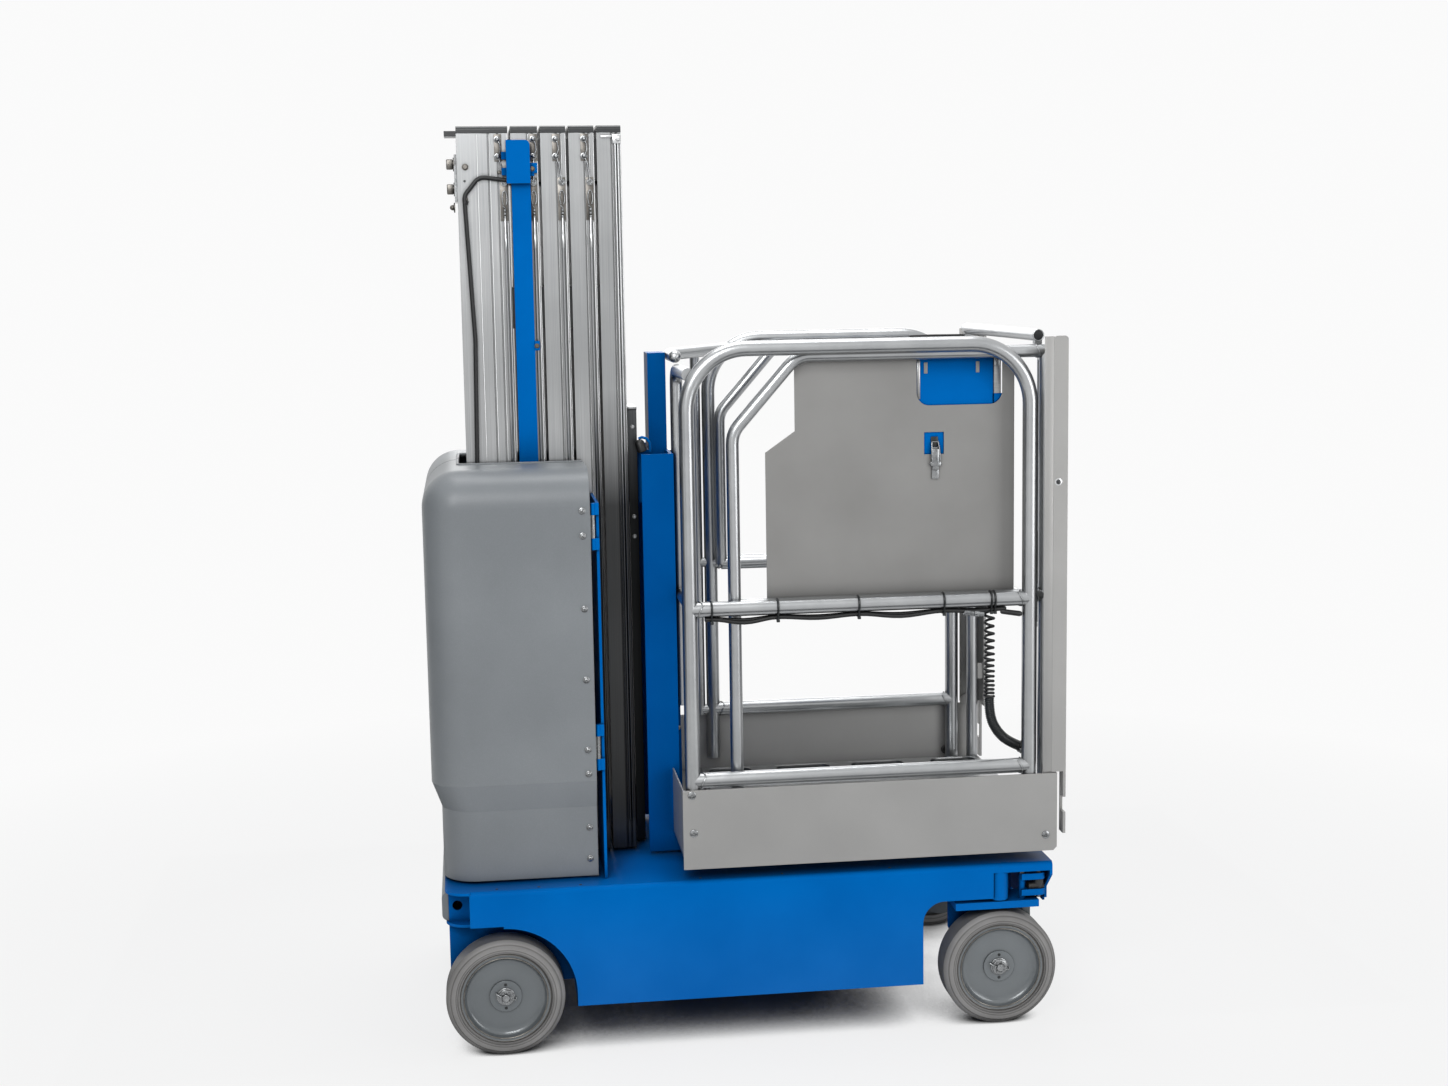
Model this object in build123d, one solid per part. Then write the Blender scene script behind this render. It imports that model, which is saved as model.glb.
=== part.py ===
from build123d import *
import math
import os

# A self-propelled vertical mast lift with an extending platform. +X runs along the machine from the
# mast to the platform's entry, +Y across it and +Z up, from the ground under the machine's middle.

# overall sizes
half_length = 692
half_width = 375
plate = 6
move_gap = 6
seat_gap = 0.3
cut_over = 1

# wheels
wheel_radius = 128
wheel_width = 76
rear_overhang = 144
front_overhang = 146
rear_axle_x = rear_overhang - half_length
front_axle_x = half_length - front_overhang
wheel_y = half_width - wheel_width / 2
wheel_inner_y = half_width - wheel_width - move_gap
rim_radius = 97
tyre_shoulder = 11
rim_step = 7
rim_step_depth = 4
hub_boss_radius = 34
hub_dish = 16
hub_web = 8
hub_cap_inset = 3
axle_radius = 16
axle_fit = 0.05
axle_inset = 13

# chassis shell
deck_top = 366
deck_rear = 21 - half_length
deck_front = half_length - 28
deck_corner = 45
side_rear = 73 - half_length
chassis_side = half_width - 3
fold_radius = 10
sill_depth = 78
sill_bottom = deck_top - sill_depth
sill_lap = 6
skirt_bottom = 101
arch_radius = 155
skirt_front = front_axle_x - 175
skirt_corner = 48
nose_flange = 20
nose_cut_y = 44
nose_cut_top = 30
nose_cut_low = 70
nose_lip_bottom = 96

# chassis frame
inner_wall = wheel_inner_y - 13
tail_side = 315
tail_flange_drop = 88
tail_panel_bottom = 130
tie_hole_radius = 11
tie_hole_inset = 19
tie_hole_drop = 54
spine_side = 132
spine_bottom = deck_top - 144
beam_half = 12
bumper_depth = 14
bumper_half = 31
bumper_drop = 56

# steering
king_x = front_axle_x
king_radius = 12
king_housing = 22
king_y = chassis_side - king_housing
king_top = deck_top - plate - 4
king_bottom = sill_bottom - 5
yoke_top = sill_bottom - 8
yoke_thick = 16
yoke_rear = 101
yoke_front = 88
yoke_outer = 20
yoke_inner = 65
leg_thick = 14
leg_rear = 98
leg_half = 52
leg_bend = 200
leg_drop = 40
motor_radius = 58
motor_depth = 88
motor_box_rear = 76
motor_box_front = 94
motor_box_depth = 48
motor_box_low = 204
motor_box_high = 250
steer_arm = 92
fork_root = 50
fork_half = 14
fork_low = yoke_top + 8
fork_high = yoke_top + 44
fork_pin = 7
fork_pin_arm = 54
link_radius = 9
link_z = yoke_top + 33
link_eye = 11
link_eye_half = 9.5
link_pin = 5

# mast
mast_setback = 98
column_depths = [114, 64, 61, 61, 56]
column_gap = 6
column_side = 118
column_bottom = deck_top + 8
mast_top = 1976
column_wall = 6
groove_width = 5
groove_depth = 2.5
groove_shares = [0.62, 0.8]
cap_height = 16
nub_length = 26
nub_side = 30
nub_height = 12
pad_height = 90
pad_width = 34
pad_inset = 10
pad_drops = [102, 420]
column_edges = [mast_setback - half_length]
for depth in column_depths:
    column_edges.append(column_edges[-1] + depth)

# mast head fittings
rear_plate_side = 46
rear_plate_top = mast_top - 34
rear_plate_bottom = mast_top - 142
rear_plate_slope = 30
guide_bar_rear = column_edges[1] + 2
guide_bar_width = 41
guide_bar_stand = 5
guide_bar_thick = 8
guide_bar_bottom = deck_top + 834
hood_rear = 10
hood_depth = 24
hood_top = mast_top - 16
hood_bottom = mast_top - 108
tab_levels = [mast_top - 40, mast_top - 74]
tab_height = 16
tab_reach = 20
lead_radius = 4.5
lead_clear = 8
lead_rear = 14
lead_reach = 58
lead_lean = 14
lead_foot = guide_bar_bottom
lead_bend = 26

# base cover
cover_rear = -half_length
cover_length = 354
cover_front = cover_rear + cover_length
cover_side = half_width - 45
cover_top = deck_top + 896
cover_bottom = deck_top + move_gap
cover_band_low = deck_top + 161
cover_band_high = deck_top + 222
cover_inset = 20
cover_wall = 5
cover_corner = 75
cover_shoulder = 78
cover_split = 3
cover_mast_gap = 20
hinge_x = cover_front + 6
hinge_y = cover_side - 8
hinge_radius = 5
hinge_pin = 2.5
hinge_levels = [610, 1090]
hinge_length = 100
leaf = 3
strap_length = 24
support_x = hinge_x + 7
support_top = deck_top + 824
support_inset = 12

# heavy blocks under the cover
battery_rear = -36
battery_length = 170
battery_inner = 136
battery_outer = 280
battery_height = 250
power_length = 130
power_height = 300
power_gap = 20

# carriage
slide_bar = 20
slide_side = 60
slide_top = 1368
carriage_depth = 71
carriage_side = 160
carriage_bottom = deck_top + 8
carriage_top = 1276
carriage_wall = 8
post_rear_gap = 43
post_front_gap = 2
post_side = 42
post_top = 1494
post_lap = 120
slide_rear = column_edges[-1] + column_gap
slide_front = slide_rear + slide_bar
carriage_front = slide_front + carriage_depth
post_rear = carriage_front - post_rear_gap
post_front = carriage_front - post_front_gap
front_plate_side = 84
front_plate_depth = 14
front_plate_top = carriage_top - 14
front_slots = [640, 760, 1000, 1130]
front_slot_height = 60
front_slot_width = 12

# platform
toe_bottom = deck_top + 26
toe_height = 175
toe_top = toe_bottom + toe_height
toe_chamfer = 8
toe_flange = 24
floor_top = toe_bottom + 32
floor_thick = 6
bearer_y = 110
bearer_half = 20
bearer_end = 10
platform_rear = carriage_front - 16
platform_front = half_length - 19
outer_tube = 16.5
outer_rail_y = half_width - plate - outer_tube - seat_gap
loop_rear = carriage_front + 9
far_loop_rear = loop_rear + 132
loop_front = half_length - 78
loop_bend = 130
loop_foot = toe_bottom + 68
top_rail_z = floor_top + 1087
mid_rail_z = floor_top + 533
low_rail_z = toe_top + outer_tube
far_brace_x = far_loop_rear - 32
far_brace_radius = 12
mast_rail_z = top_rail_z - 24
mast_tube = 14
mast_mid_tube = 12.5
mast_rail_near_y = -96
mast_rail_bend_y = 30
mast_rail_bend = 60
mast_rail_far_x = far_loop_rear + 55
mast_leg_y = front_plate_side + 26
mast_leg_bend = 34
mast_leg_foot = 700

# extension
deck_z = floor_top + 6
deck_thick = 6
inner_tube = 14
inner_rail_y = outer_rail_y - outer_tube - inner_tube - 6.5
slant_foot_x = loop_rear + 102
slant_head_x = slant_foot_x + 142
slant_foot_z = top_rail_z - 181
inner_top_z = top_rail_z - 19
slant_bend = 60
far_slant_x = slant_foot_x + 52
roll_rear = slant_foot_x - 15
deck_holes = [(83, 151), (185, 320), (370, 500), (550, 685)]
deck_hole_near = 90
deck_hole_far = 200
deck_hole_corner = 22
glide_inset = 20
glide_width = 40
end_tube_x = half_length - 34
end_post_rear = half_length - 32
end_post_inner = inner_rail_y - 10
end_post_bottom = toe_top + 3
end_post_top = top_rail_z + 14
end_post_corner = 8
end_tab_levels = [640, 1010, 1420]
end_tab_half = 5
end_tab_height = 40
end_foot_bottom = 430
end_foot_low = 478
end_foot_high = 512
end_foot_inner = half_width - 30

# side panel and control box
panel_thick = 2
panel_rear_low = slant_foot_x + 73
panel_rear_high = slant_foot_x + 138
panel_front = half_length - 99
panel_step_low = 1285
panel_step_high = 1330
panel_bottom = mid_rail_z - 12
panel_top = inner_top_z - 5
cut_rear = panel_front - 217
cut_front = panel_front - 27
cut_bottom = 1378
cut_corner = 28
box_rear = panel_front - 233
box_front = panel_front - 48
box_depth = 104
box_bottom = 1255
box_wall = 3
window_rear = panel_front - 201
window_front = panel_front - 157
window_bottom = 1272
window_top = 1320

# entry
entry_tube = 13
entry_top_x = end_tube_x - 15
entry_top_y = inner_rail_y - 3
entry_top_z = top_rail_z + 14
saddle_half = 8
guide_x = end_tube_x - 2
guide_y = inner_rail_y - 32
guide_radius = 7
guide_top = top_rail_z - 37
guide_bottom = mid_rail_z - 65
guide_stub = 7
slide_eye = 11
slide_eye_half = 30
slide_rail_z = mid_rail_z - 32
slide_rail_tube = 12

# cables
cable_radius = 4.5
cable_rear = far_loop_rear - 100
cable_front = loop_front - 54
coil_x = loop_front - 84
coil_y = outer_rail_y - 22
coil_radius = 13
coil_bottom = 735
conduit_radius = 11.5
conduit_runs = [38.5, 40, 40, 36]
conduit_turn = 22.5
bend_share = 0.45


def solid_box(x0, x1, y0, y1, z0, z1):
    """A box between six limits."""
    size = (x1 - x0, y1 - y0, z1 - z0)
    return Pos((x0 + x1) / 2, (y0 + y1) / 2, (z0 + z1) / 2) * Box(*size)


def side_box(side, x0, x1, y0, y1, z0, z1):
    """A box on the near or far side, with its Y limits as distances from the middle."""
    low, high = sorted((side * y0, side * y1))
    return solid_box(x0, x1, low, high, z0, z1)


def upright(radius, x, y, z0, z1):
    """A round bar standing along Z."""
    return Pos(x, y, (z0 + z1) / 2) * Cylinder(radius, z1 - z0)


def across(radius, x, z, y0, y1):
    """A round bar lying along Y."""
    low, high = sorted((y0, y1))
    return Pos(x, (low + high) / 2, z) * Rot(90, 0, 0) * Cylinder(radius, high - low)


def along(radius, y, z, x0, x1):
    """A round bar lying along X."""
    return Pos((x0 + x1) / 2, y, z) * Rot(0, 90, 0) * Cylinder(radius, x1 - x0)


def side_sheet(points, y0, y1):
    """A flat sheet cut to an outline in X and Z, between two Y limits."""
    low, high = sorted((y0, y1))
    face = make_face(Polyline(*[(x, high, z) for x, z in points], close=True))
    return extrude(face, amount=high - low, dir=(0, -1, 0))


def end_sheet(points, x0, x1):
    """A flat sheet cut to an outline in Y and Z, between two X limits."""
    face = make_face(Polyline(*[(x0, y, z) for y, z in points], close=True))
    return extrude(face, amount=x1 - x0, dir=(1, 0, 0))


def plan_sheet(points, z0, z1):
    """A flat sheet cut to an outline in X and Y, between two Z limits."""
    face = make_face(Polyline(*[(x, y, z0) for x, y in points], close=True))
    return extrude(face, amount=z1 - z0, dir=(0, 0, 1))


def tube_run(points, radius, bends):
    """A bent round tube, solid inside its wall's outline, along a list of points."""
    path = FilletPolyline(*points, radius=bends)
    ring = Plane(origin=path @ 0, z_dir=path % 0) * Circle(radius)
    return sweep(ring, path=path)


def mirrored(shape):
    """The same shape on the far side."""
    return mirror(shape, about=Plane.XZ)


def write(name, *shapes):
    """Writes one node's solids to its own file."""
    solids = [solid for shape in shapes for solid in shape.solids()]
    body = solids[0] if len(solids) == 1 else Compound(children=solids)
    export_step(body, f"parts/{name}.step")
    print(f"{name}: {len(solids)} solids, {sum(s.volume for s in solids) / 1000:.0f} cm3")


os.makedirs("parts", exist_ok=True)


# chassis
def folded_channel(x0, x1, depth):
    """A plate across the machine with both long edges folded down, open below."""
    section = Plane(origin=(x0, 0, deck_top - depth / 2), x_dir=(0, 1, 0), z_dir=(1, 0, 0))
    outer = section * Rectangle(2 * chassis_side, depth)
    top = outer.vertices().group_by(Axis.Z)[-1]
    profile = extrude(fillet(top, fold_radius), amount=x1 - x0, dir=(1, 0, 0))
    return profile - solid_box(x0 - cut_over, x1 + cut_over, -chassis_side + plate, chassis_side - plate,
                               deck_top - depth - cut_over, deck_top - plate)


def side_skirt(side):
    """The lower part of one side plate, with its wheel arch and its front corner."""
    y0, y1 = chassis_side - plate, chassis_side
    skirt = side_box(side, rear_axle_x, skirt_front, y0, y1, skirt_bottom, sill_bottom)
    arch = across(arch_radius, rear_axle_x, wheel_radius, -half_width, half_width)
    below = side_box(side, rear_axle_x - arch_radius, rear_axle_x + arch_radius, 0, half_width, 0, wheel_radius)
    corner = side_box(side, skirt_front, skirt_front + skirt_corner, y0, y1, sill_bottom - skirt_corner, sill_bottom)
    corner -= across(skirt_corner, skirt_front + skirt_corner, sill_bottom - skirt_corner, -half_width, half_width)
    return skirt - arch - below + corner


def chassis_shell():
    """The blue body plate: deck, folded sides, nose flange, front lip and king pin tubes."""
    tail = solid_box(deck_rear, side_rear + cut_over, -chassis_side, chassis_side, deck_top - plate, deck_top)
    corners = tail.edges().filter_by(Axis.Z).group_by(Axis.X)[0]
    sill_front = king_x - king_housing + sill_lap
    shell = fillet(corners, deck_corner)
    shell += folded_channel(side_rear, sill_front, sill_depth) + folded_channel(sill_front, deck_front, nose_flange)
    cut_y = chassis_side - nose_cut_y
    lip_top, lip_low = deck_top - nose_cut_top, deck_top - nose_cut_low
    lip_bottom = deck_top - nose_lip_bottom
    lip = [(-chassis_side, deck_top - fold_radius), (-chassis_side, lip_top), (-cut_y, lip_low), (-cut_y, lip_bottom),
           (cut_y, lip_bottom), (cut_y, lip_low), (chassis_side, lip_top), (chassis_side, deck_top - fold_radius),
           (chassis_side - plate, deck_top - plate), (-chassis_side + plate, deck_top - plate)]
    shell += end_sheet(lip, deck_front - plate, deck_front)
    for side in (-1, 1):
        shell += side_skirt(side)
        shell += upright(king_housing, king_x, side * king_y, king_bottom, deck_top - plate)
    for side in (-1, 1):
        shell -= upright(king_radius + axle_fit, king_x, side * king_y, king_bottom - cut_over, king_top)
    return shell


write("chassis_shell", chassis_shell())


def chassis_frame():
    """The welded box under the deck that carries the axles, the tail and the nose beam."""
    top = deck_top - plate - seat_gap
    rear = deck_rear + plate
    side_in = chassis_side - plate - seat_gap
    frame = solid_box(rear, rear + plate, -inner_wall, inner_wall, tail_panel_bottom, top)
    flange_z = deck_top - tail_flange_drop
    flange = solid_box(deck_rear, side_rear + plate, -tail_side, tail_side, flange_z - plate, flange_z)
    frame += fillet(flange.edges().filter_by(Axis.Z).group_by(Axis.X)[0], deck_corner)
    for side in (-1, 1):
        frame += side_box(side, rear, rear_axle_x + arch_radius, inner_wall - plate, inner_wall,
                          tail_panel_bottom, top)
        frame += side_box(side, rear_axle_x + arch_radius, skirt_front, inner_wall - plate, inner_wall,
                          skirt_bottom, top)
        frame += side_box(side, skirt_front - plate, king_x + beam_half, spine_side - plate, spine_side,
                          spine_bottom, top)
    frame += solid_box(rear_axle_x + arch_radius, skirt_front, -side_in, side_in, skirt_bottom, skirt_bottom + plate)
    frame += solid_box(rear, rear_axle_x + arch_radius + plate, -inner_wall, inner_wall,
                       tail_panel_bottom, tail_panel_bottom + plate)
    for x in (rear_axle_x + arch_radius, skirt_front - plate):
        frame += solid_box(x, x + plate, -side_in, side_in, skirt_bottom, top)
    frame += solid_box(skirt_front - plate, king_x + beam_half, -spine_side, spine_side,
                       spine_bottom, spine_bottom + plate)
    beam_side = king_y - king_housing - seat_gap
    for x in (king_x - beam_half, king_x + beam_half - plate):
        frame += solid_box(x, x + plate, -beam_side, beam_side, sill_bottom, top)
    hole_x, hole_z = rear + tie_hole_inset, deck_top - tie_hole_drop
    frame -= across(tie_hole_radius, hole_x, hole_z, -tail_side, tail_side)
    return frame


write("chassis_frame", chassis_frame())


def rear_axle():
    """Two stub axles on blocks bolted to the frame's walls."""
    stubs = []
    for side in (-1, 1):
        stub = across(axle_radius, rear_axle_x, wheel_radius, side * inner_wall, side * (half_width - axle_inset))
        stub += across(hub_boss_radius, rear_axle_x, wheel_radius, side * inner_wall, side * wheel_inner_y)
        stubs.append(stub)
    return stubs


write("rear_axle", *rear_axle())


def rear_bumper():
    """A moulded strip across the tail with a bulged rear face."""
    front = deck_rear + plate - seat_gap
    middle = deck_top - bumper_drop
    strip = solid_box(front - bumper_depth, front, -inner_wall, inner_wall, middle - bumper_half, middle + bumper_half)
    rear_edges = strip.edges().filter_by(Axis.Y).group_by(Axis.X)[0]
    return fillet(rear_edges, bumper_depth - cut_over)


write("rear_bumper", rear_bumper())


# wheels
def tyre(x, side):
    """A solid tyre with a bevelled shoulder and a raised ring on its outer wall."""
    half = wheel_width / 2
    outline = [(rim_radius, -half), (wheel_radius - tyre_shoulder, -half), (wheel_radius, -half + tyre_shoulder),
               (wheel_radius, half - tyre_shoulder), (wheel_radius - tyre_shoulder, half),
               (rim_radius + rim_step, half), (rim_radius + rim_step, half - rim_step_depth),
               (rim_radius, half - rim_step_depth)]
    face = make_face(Polyline(*[(r, 0, a) for r, a in outline], close=True))
    return Pos(x, side * wheel_y, wheel_radius) * Rot(-90 * side, 0, 0) * revolve(face, axis=Axis.Z)


def hub(x, side):
    """A dished wheel disc with its centre boss and bore."""
    half = wheel_width / 2
    bore = axle_radius + axle_fit
    rim_out = half - rim_step_depth
    lip = rim_radius - hub_web
    floor = rim_out - hub_dish
    outline = [(bore, -half), (hub_boss_radius + hub_web, -half), (rim_radius, -half + hub_web), (rim_radius, rim_out),
               (lip, rim_out), (lip - hub_web, floor), (hub_boss_radius, floor), (hub_boss_radius, floor + hub_cap_inset),
               (bore, floor + hub_cap_inset)]
    face = make_face(Polyline(*[(r, 0, a) for r, a in outline], close=True))
    return Pos(x, side * wheel_y, wheel_radius) * Rot(-90 * side, 0, 0) * revolve(face, axis=Axis.Z)


wheel_table = [("rear_near", rear_axle_x, -1), ("rear_far", rear_axle_x, 1),
               ("front_near", front_axle_x, -1), ("front_far", front_axle_x, 1)]
for wheel_name, wheel_x, wheel_side in wheel_table:
    write(f"tyre_{wheel_name}", tyre(wheel_x, wheel_side))
    write(f"hub_{wheel_name}", hub(wheel_x, wheel_side))


# steering
def fork_plate(side, z):
    """One plate of the steering fork, round at its end."""
    y = side * king_y
    strip = solid_box(king_x + fork_root, king_x + steer_arm, y - fork_half, y + fork_half, z, z + fork_half)
    return strip + upright(fork_half, king_x + steer_arm, y, z, z + fork_half)


def steering_yoke(side):
    """A steering knuckle: top plate, king pin, inner leg, stub axle and the fork for the tie rod."""
    plate_low = yoke_top - yoke_thick
    y = side * king_y
    yoke = side_box(side, king_x - yoke_rear, king_x + yoke_front, king_y - yoke_inner, king_y + yoke_outer,
                    plate_low, yoke_top)
    yoke += upright(king_radius, king_x, y, yoke_top, king_top - seat_gap)
    leg_in = wheel_inner_y - leg_thick
    leg = [(king_x - leg_rear, plate_low), (king_x + leg_half, plate_low), (king_x + leg_half, wheel_radius - leg_drop),
           (king_x - leg_half, wheel_radius - leg_drop), (king_x - leg_rear, leg_bend)]
    yoke += side_sheet(leg, side * leg_in, side * wheel_inner_y)
    yoke += across(axle_radius, king_x, wheel_radius, side * wheel_inner_y, side * (half_width - axle_inset))
    for z in (fork_low, fork_high):
        yoke += fork_plate(side, z)
    yoke += upright(fork_pin, king_x + fork_pin_arm, y, yoke_top, fork_high + fork_half)
    yoke += upright(link_pin, king_x + steer_arm, y, fork_low, fork_high + fork_half)
    return yoke


def drive_motor(side):
    """A hub motor on the inside of the knuckle, with its terminal box beside it."""
    leg_in = wheel_inner_y - leg_thick - seat_gap
    motor = across(motor_radius, king_x, wheel_radius, side * (leg_in - motor_depth), side * leg_in)
    box = side_box(side, king_x + motor_box_rear, king_x + motor_box_front, leg_in - motor_box_depth, leg_in,
                   motor_box_low, motor_box_high)
    arm = side_box(side, king_x, king_x + motor_box_front, leg_in - motor_box_depth, leg_in - motor_box_depth / 2,
                   wheel_radius, motor_box_low + plate)
    return motor + box + arm


for yoke_name, yoke_side in (("near", -1), ("far", 1)):
    write(f"steering_yoke_{yoke_name}", steering_yoke(yoke_side))
    write(f"drive_motor_{yoke_name}", drive_motor(yoke_side))


def steering_link():
    """The tie rod between the two steering forks, with an eye at each end."""
    x = king_x + steer_arm
    rod = across(link_radius, x, link_z, -king_y, king_y)
    for side in (-1, 1):
        rod += upright(link_eye, x, side * king_y, link_z - link_eye_half, link_z + link_eye_half)
    for side in (-1, 1):
        rod -= upright(link_pin + axle_fit, x, side * king_y, link_z - link_eye, link_z + link_eye)
    return rod


write("steering_link", steering_link())


# mast
def column_range(index):
    """The rear and front faces of one column."""
    rear = column_edges[index] + column_gap / 2 * (index > 0)
    front = column_edges[index + 1] - column_gap / 2 * (index < len(column_depths) - 1)
    return rear, front


def mast_column(index):
    """A hollow extruded column with shallow grooves down its sides."""
    x0, x1 = column_range(index)
    bottom = deck_top + seat_gap if index == 0 else column_bottom
    inner_side = column_side - column_wall
    body = solid_box(x0, x1, -column_side, column_side, bottom, mast_top)
    body -= solid_box(x0 + column_wall, x1 - column_wall, -inner_side, inner_side, bottom, mast_top)
    for side in (-1, 1):
        for share in groove_shares:
            x = x0 + share * (x1 - x0)
            body -= side_box(side, x - groove_width / 2, x + groove_width / 2, column_side - groove_depth,
                             column_side, bottom, mast_top)
    return body


def mast_cap(index):
    """The black moulding that closes one column's head."""
    x0, x1 = column_range(index)
    top = mast_top + cap_height
    cap = solid_box(x0, x1, -column_side, column_side, mast_top + seat_gap, top)
    cap = fillet(cap.edges().filter_by(Axis.X).group_by(Axis.Z)[-1], cap_height / 2)
    if index == 0:
        cap += solid_box(x0 - nub_length, x0 + cut_over, -nub_side, nub_side, mast_top + seat_gap,
                         mast_top + nub_height)
    return cap


def slide_pads(index):
    """Wear pads on a column's front face at its head, against the next column."""
    front = column_range(index)[1]
    pads = []
    for side in (-1, 1):
        outer = column_side - pad_inset
        for drop in pad_drops:
            z = mast_top - drop
            pads.append(side_box(side, front, front + column_gap - seat_gap, outer - pad_width, outer,
                                 z, z + pad_height))
    return pads


for column in range(len(column_depths)):
    write(f"mast_column_{column + 1}", mast_column(column))
    write(f"mast_cap_{column + 1}", mast_cap(column))
for column in range(len(column_depths) - 1):
    write(f"slide_pads_{column + 1}", *slide_pads(column))


def mast_rear_plate():
    """A folded plate on the rear of the first column's head, with a sloped top."""
    x = column_edges[0] - seat_gap
    outline = [(-rear_plate_side, rear_plate_bottom), (rear_plate_side, rear_plate_bottom),
               (rear_plate_side, rear_plate_top), (-rear_plate_side, rear_plate_top - rear_plate_slope)]
    return end_sheet(outline, x - plate, x)


write("mast_rear_plate", mast_rear_plate())


def mast_guide_bar():
    """The blue bar down the near side with its hood, held by tabs on the first column."""
    face = column_side + seat_gap
    x0, x1 = guide_bar_rear, guide_bar_rear + guide_bar_width
    bar = side_box(-1, x0, x1, face + guide_bar_stand, face + guide_bar_stand + guide_bar_thick,
                   guide_bar_bottom, hood_bottom)
    hood = side_box(-1, x0 - hood_rear, x1, face + guide_bar_stand, face + guide_bar_stand + hood_depth,
                    hood_bottom, hood_top)
    hood = fillet(hood.edges().filter_by(Axis.Y).group_by(Axis.Z)[-1].sort_by(Axis.X)[-1:], hood_rear)
    bar += hood
    for z in tab_levels:
        bar += side_box(-1, x0 - tab_reach, x0, face, face + guide_bar_stand + guide_bar_thick, z - tab_height, z)
    return bar


write("mast_guide_bar", mast_guide_bar())


def mast_lead():
    """The black lead clipped to the first column from the hood to the cover."""
    y = -column_side - seat_gap - lead_radius
    rear = column_edges[0] + lead_rear
    hood_x = guide_bar_rear - hood_rear - cut_over
    points = [(hood_x, y, hood_bottom + lead_clear), (hood_x - lead_reach, y, hood_bottom + 2 * lead_clear),
              (rear, y, hood_bottom - 3 * lead_clear), (rear + lead_lean, y, (hood_bottom + lead_foot) / 2),
              (rear + lead_clear, y, lead_foot)]
    return tube_run(points, lead_radius, lead_bend)


write("mast_lead", mast_lead())


# heavy blocks under the cover
def heavy_blocks():
    """The battery packs on the deck at both sides, and the pump on top of the near one."""
    x0 = column_edges[0] + battery_rear
    blocks = []
    for side in (-1, 1):
        blocks.append(side_box(side, x0, x0 + battery_length, battery_inner, battery_outer,
                               deck_top + seat_gap, deck_top + battery_height))
    bottom = deck_top + battery_height + seat_gap
    blocks.append(side_box(-1, x0, x0 + power_length, battery_inner, battery_outer - power_gap,
                           bottom, bottom + power_height))
    return blocks


write("heavy_blocks", *heavy_blocks())


# base cover
def cover_plan(x_rear, y_side, z, corner):
    """One level of the cover's outline with its two rear corners rounded."""
    sketch = Pos((x_rear + cover_front) / 2, 0, z) * Rectangle(cover_front - x_rear, 2 * y_side)
    return fillet(sketch.vertices().group_by(Axis.X)[0], corner)


def cover_block(inset):
    """The closed form of the whole moulded cover, shrunk by an inset."""
    rear = cover_rear + inset
    low_side, high_side = cover_side - cover_inset - inset, cover_side - inset
    corner = cover_corner - inset
    low = extrude(cover_plan(rear + cover_inset, low_side, cover_bottom, corner), amount=cover_band_low - cover_bottom)
    band = loft([cover_plan(rear + cover_inset, low_side, cover_band_low, corner),
                 cover_plan(rear, high_side, cover_band_high, corner)])
    high = extrude(cover_plan(rear, high_side, cover_band_high, corner), amount=cover_top - inset - cover_band_high)
    rim = high.faces().sort_by(Axis.Z)[-1].edges().sort_by(Axis.X)[:-1]
    return low + band + fillet(rim, cover_shoulder - inset)


def cover_half(side):
    """One hinged half of the moulded cover, open round the mast."""
    shell = cover_block(0) - cover_block(cover_wall)
    low, high = cover_bottom - cut_over, cover_top + cut_over
    mast_side = column_side + cover_mast_gap
    opening = solid_box(column_edges[0] - cover_mast_gap, cover_front + cut_over, -mast_side, mast_side, low, high)
    other = side_box(side, cover_rear - cut_over, cover_front + cut_over, -cover_side - cut_over, cover_split, low, high)
    return shell - opening - other


def mast_support():
    """Upright plates beside the mast that carry the covers' hinges."""
    plates = []
    for side in (-1, 1):
        carrier = side_box(side, support_x, support_x + plate, column_side + move_gap, cover_side - support_inset,
                           deck_top + seat_gap, support_top)
        for z in hinge_levels:
            for z0 in (z, z + hinge_length * 3 / 4):
                z1 = z0 + hinge_length / 4
                carrier += side_box(side, hinge_x, support_x + plate, hinge_y - support_inset, hinge_y + hinge_pin,
                                    z0, z1)
                carrier += upright(hinge_radius, hinge_x, side * hinge_y, z0, z1)
            carrier += upright(hinge_pin, hinge_x, side * hinge_y, z, z + hinge_length)
        plates.append(carrier)
    return plates


def cover_hinges(side):
    """The leaves and knuckles that hang one half of the cover on its pins."""
    leaves = []
    for z in hinge_levels:
        z0 = z + hinge_length / 4 + seat_gap
        z1 = z + hinge_length * 3 / 4 - seat_gap
        outer = cover_side - cover_wall
        strap = side_box(side, cover_front - strap_length, hinge_x, outer - leaf, outer, z0, z1)
        knuckle = upright(hinge_radius, hinge_x, side * hinge_y, z0, z1)
        bore = upright(hinge_pin + axle_fit, hinge_x, side * hinge_y, z0 - cut_over, z1 + cut_over)
        leaves.append(strap + knuckle - bore)
    return leaves


write("mast_support", *mast_support())
for cover_name, cover_at in (("near", -1), ("far", 1)):
    write(f"base_cover_{cover_name}", cover_half(cover_at))
    write(f"cover_hinges_{cover_name}", *cover_hinges(cover_at))


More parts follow.
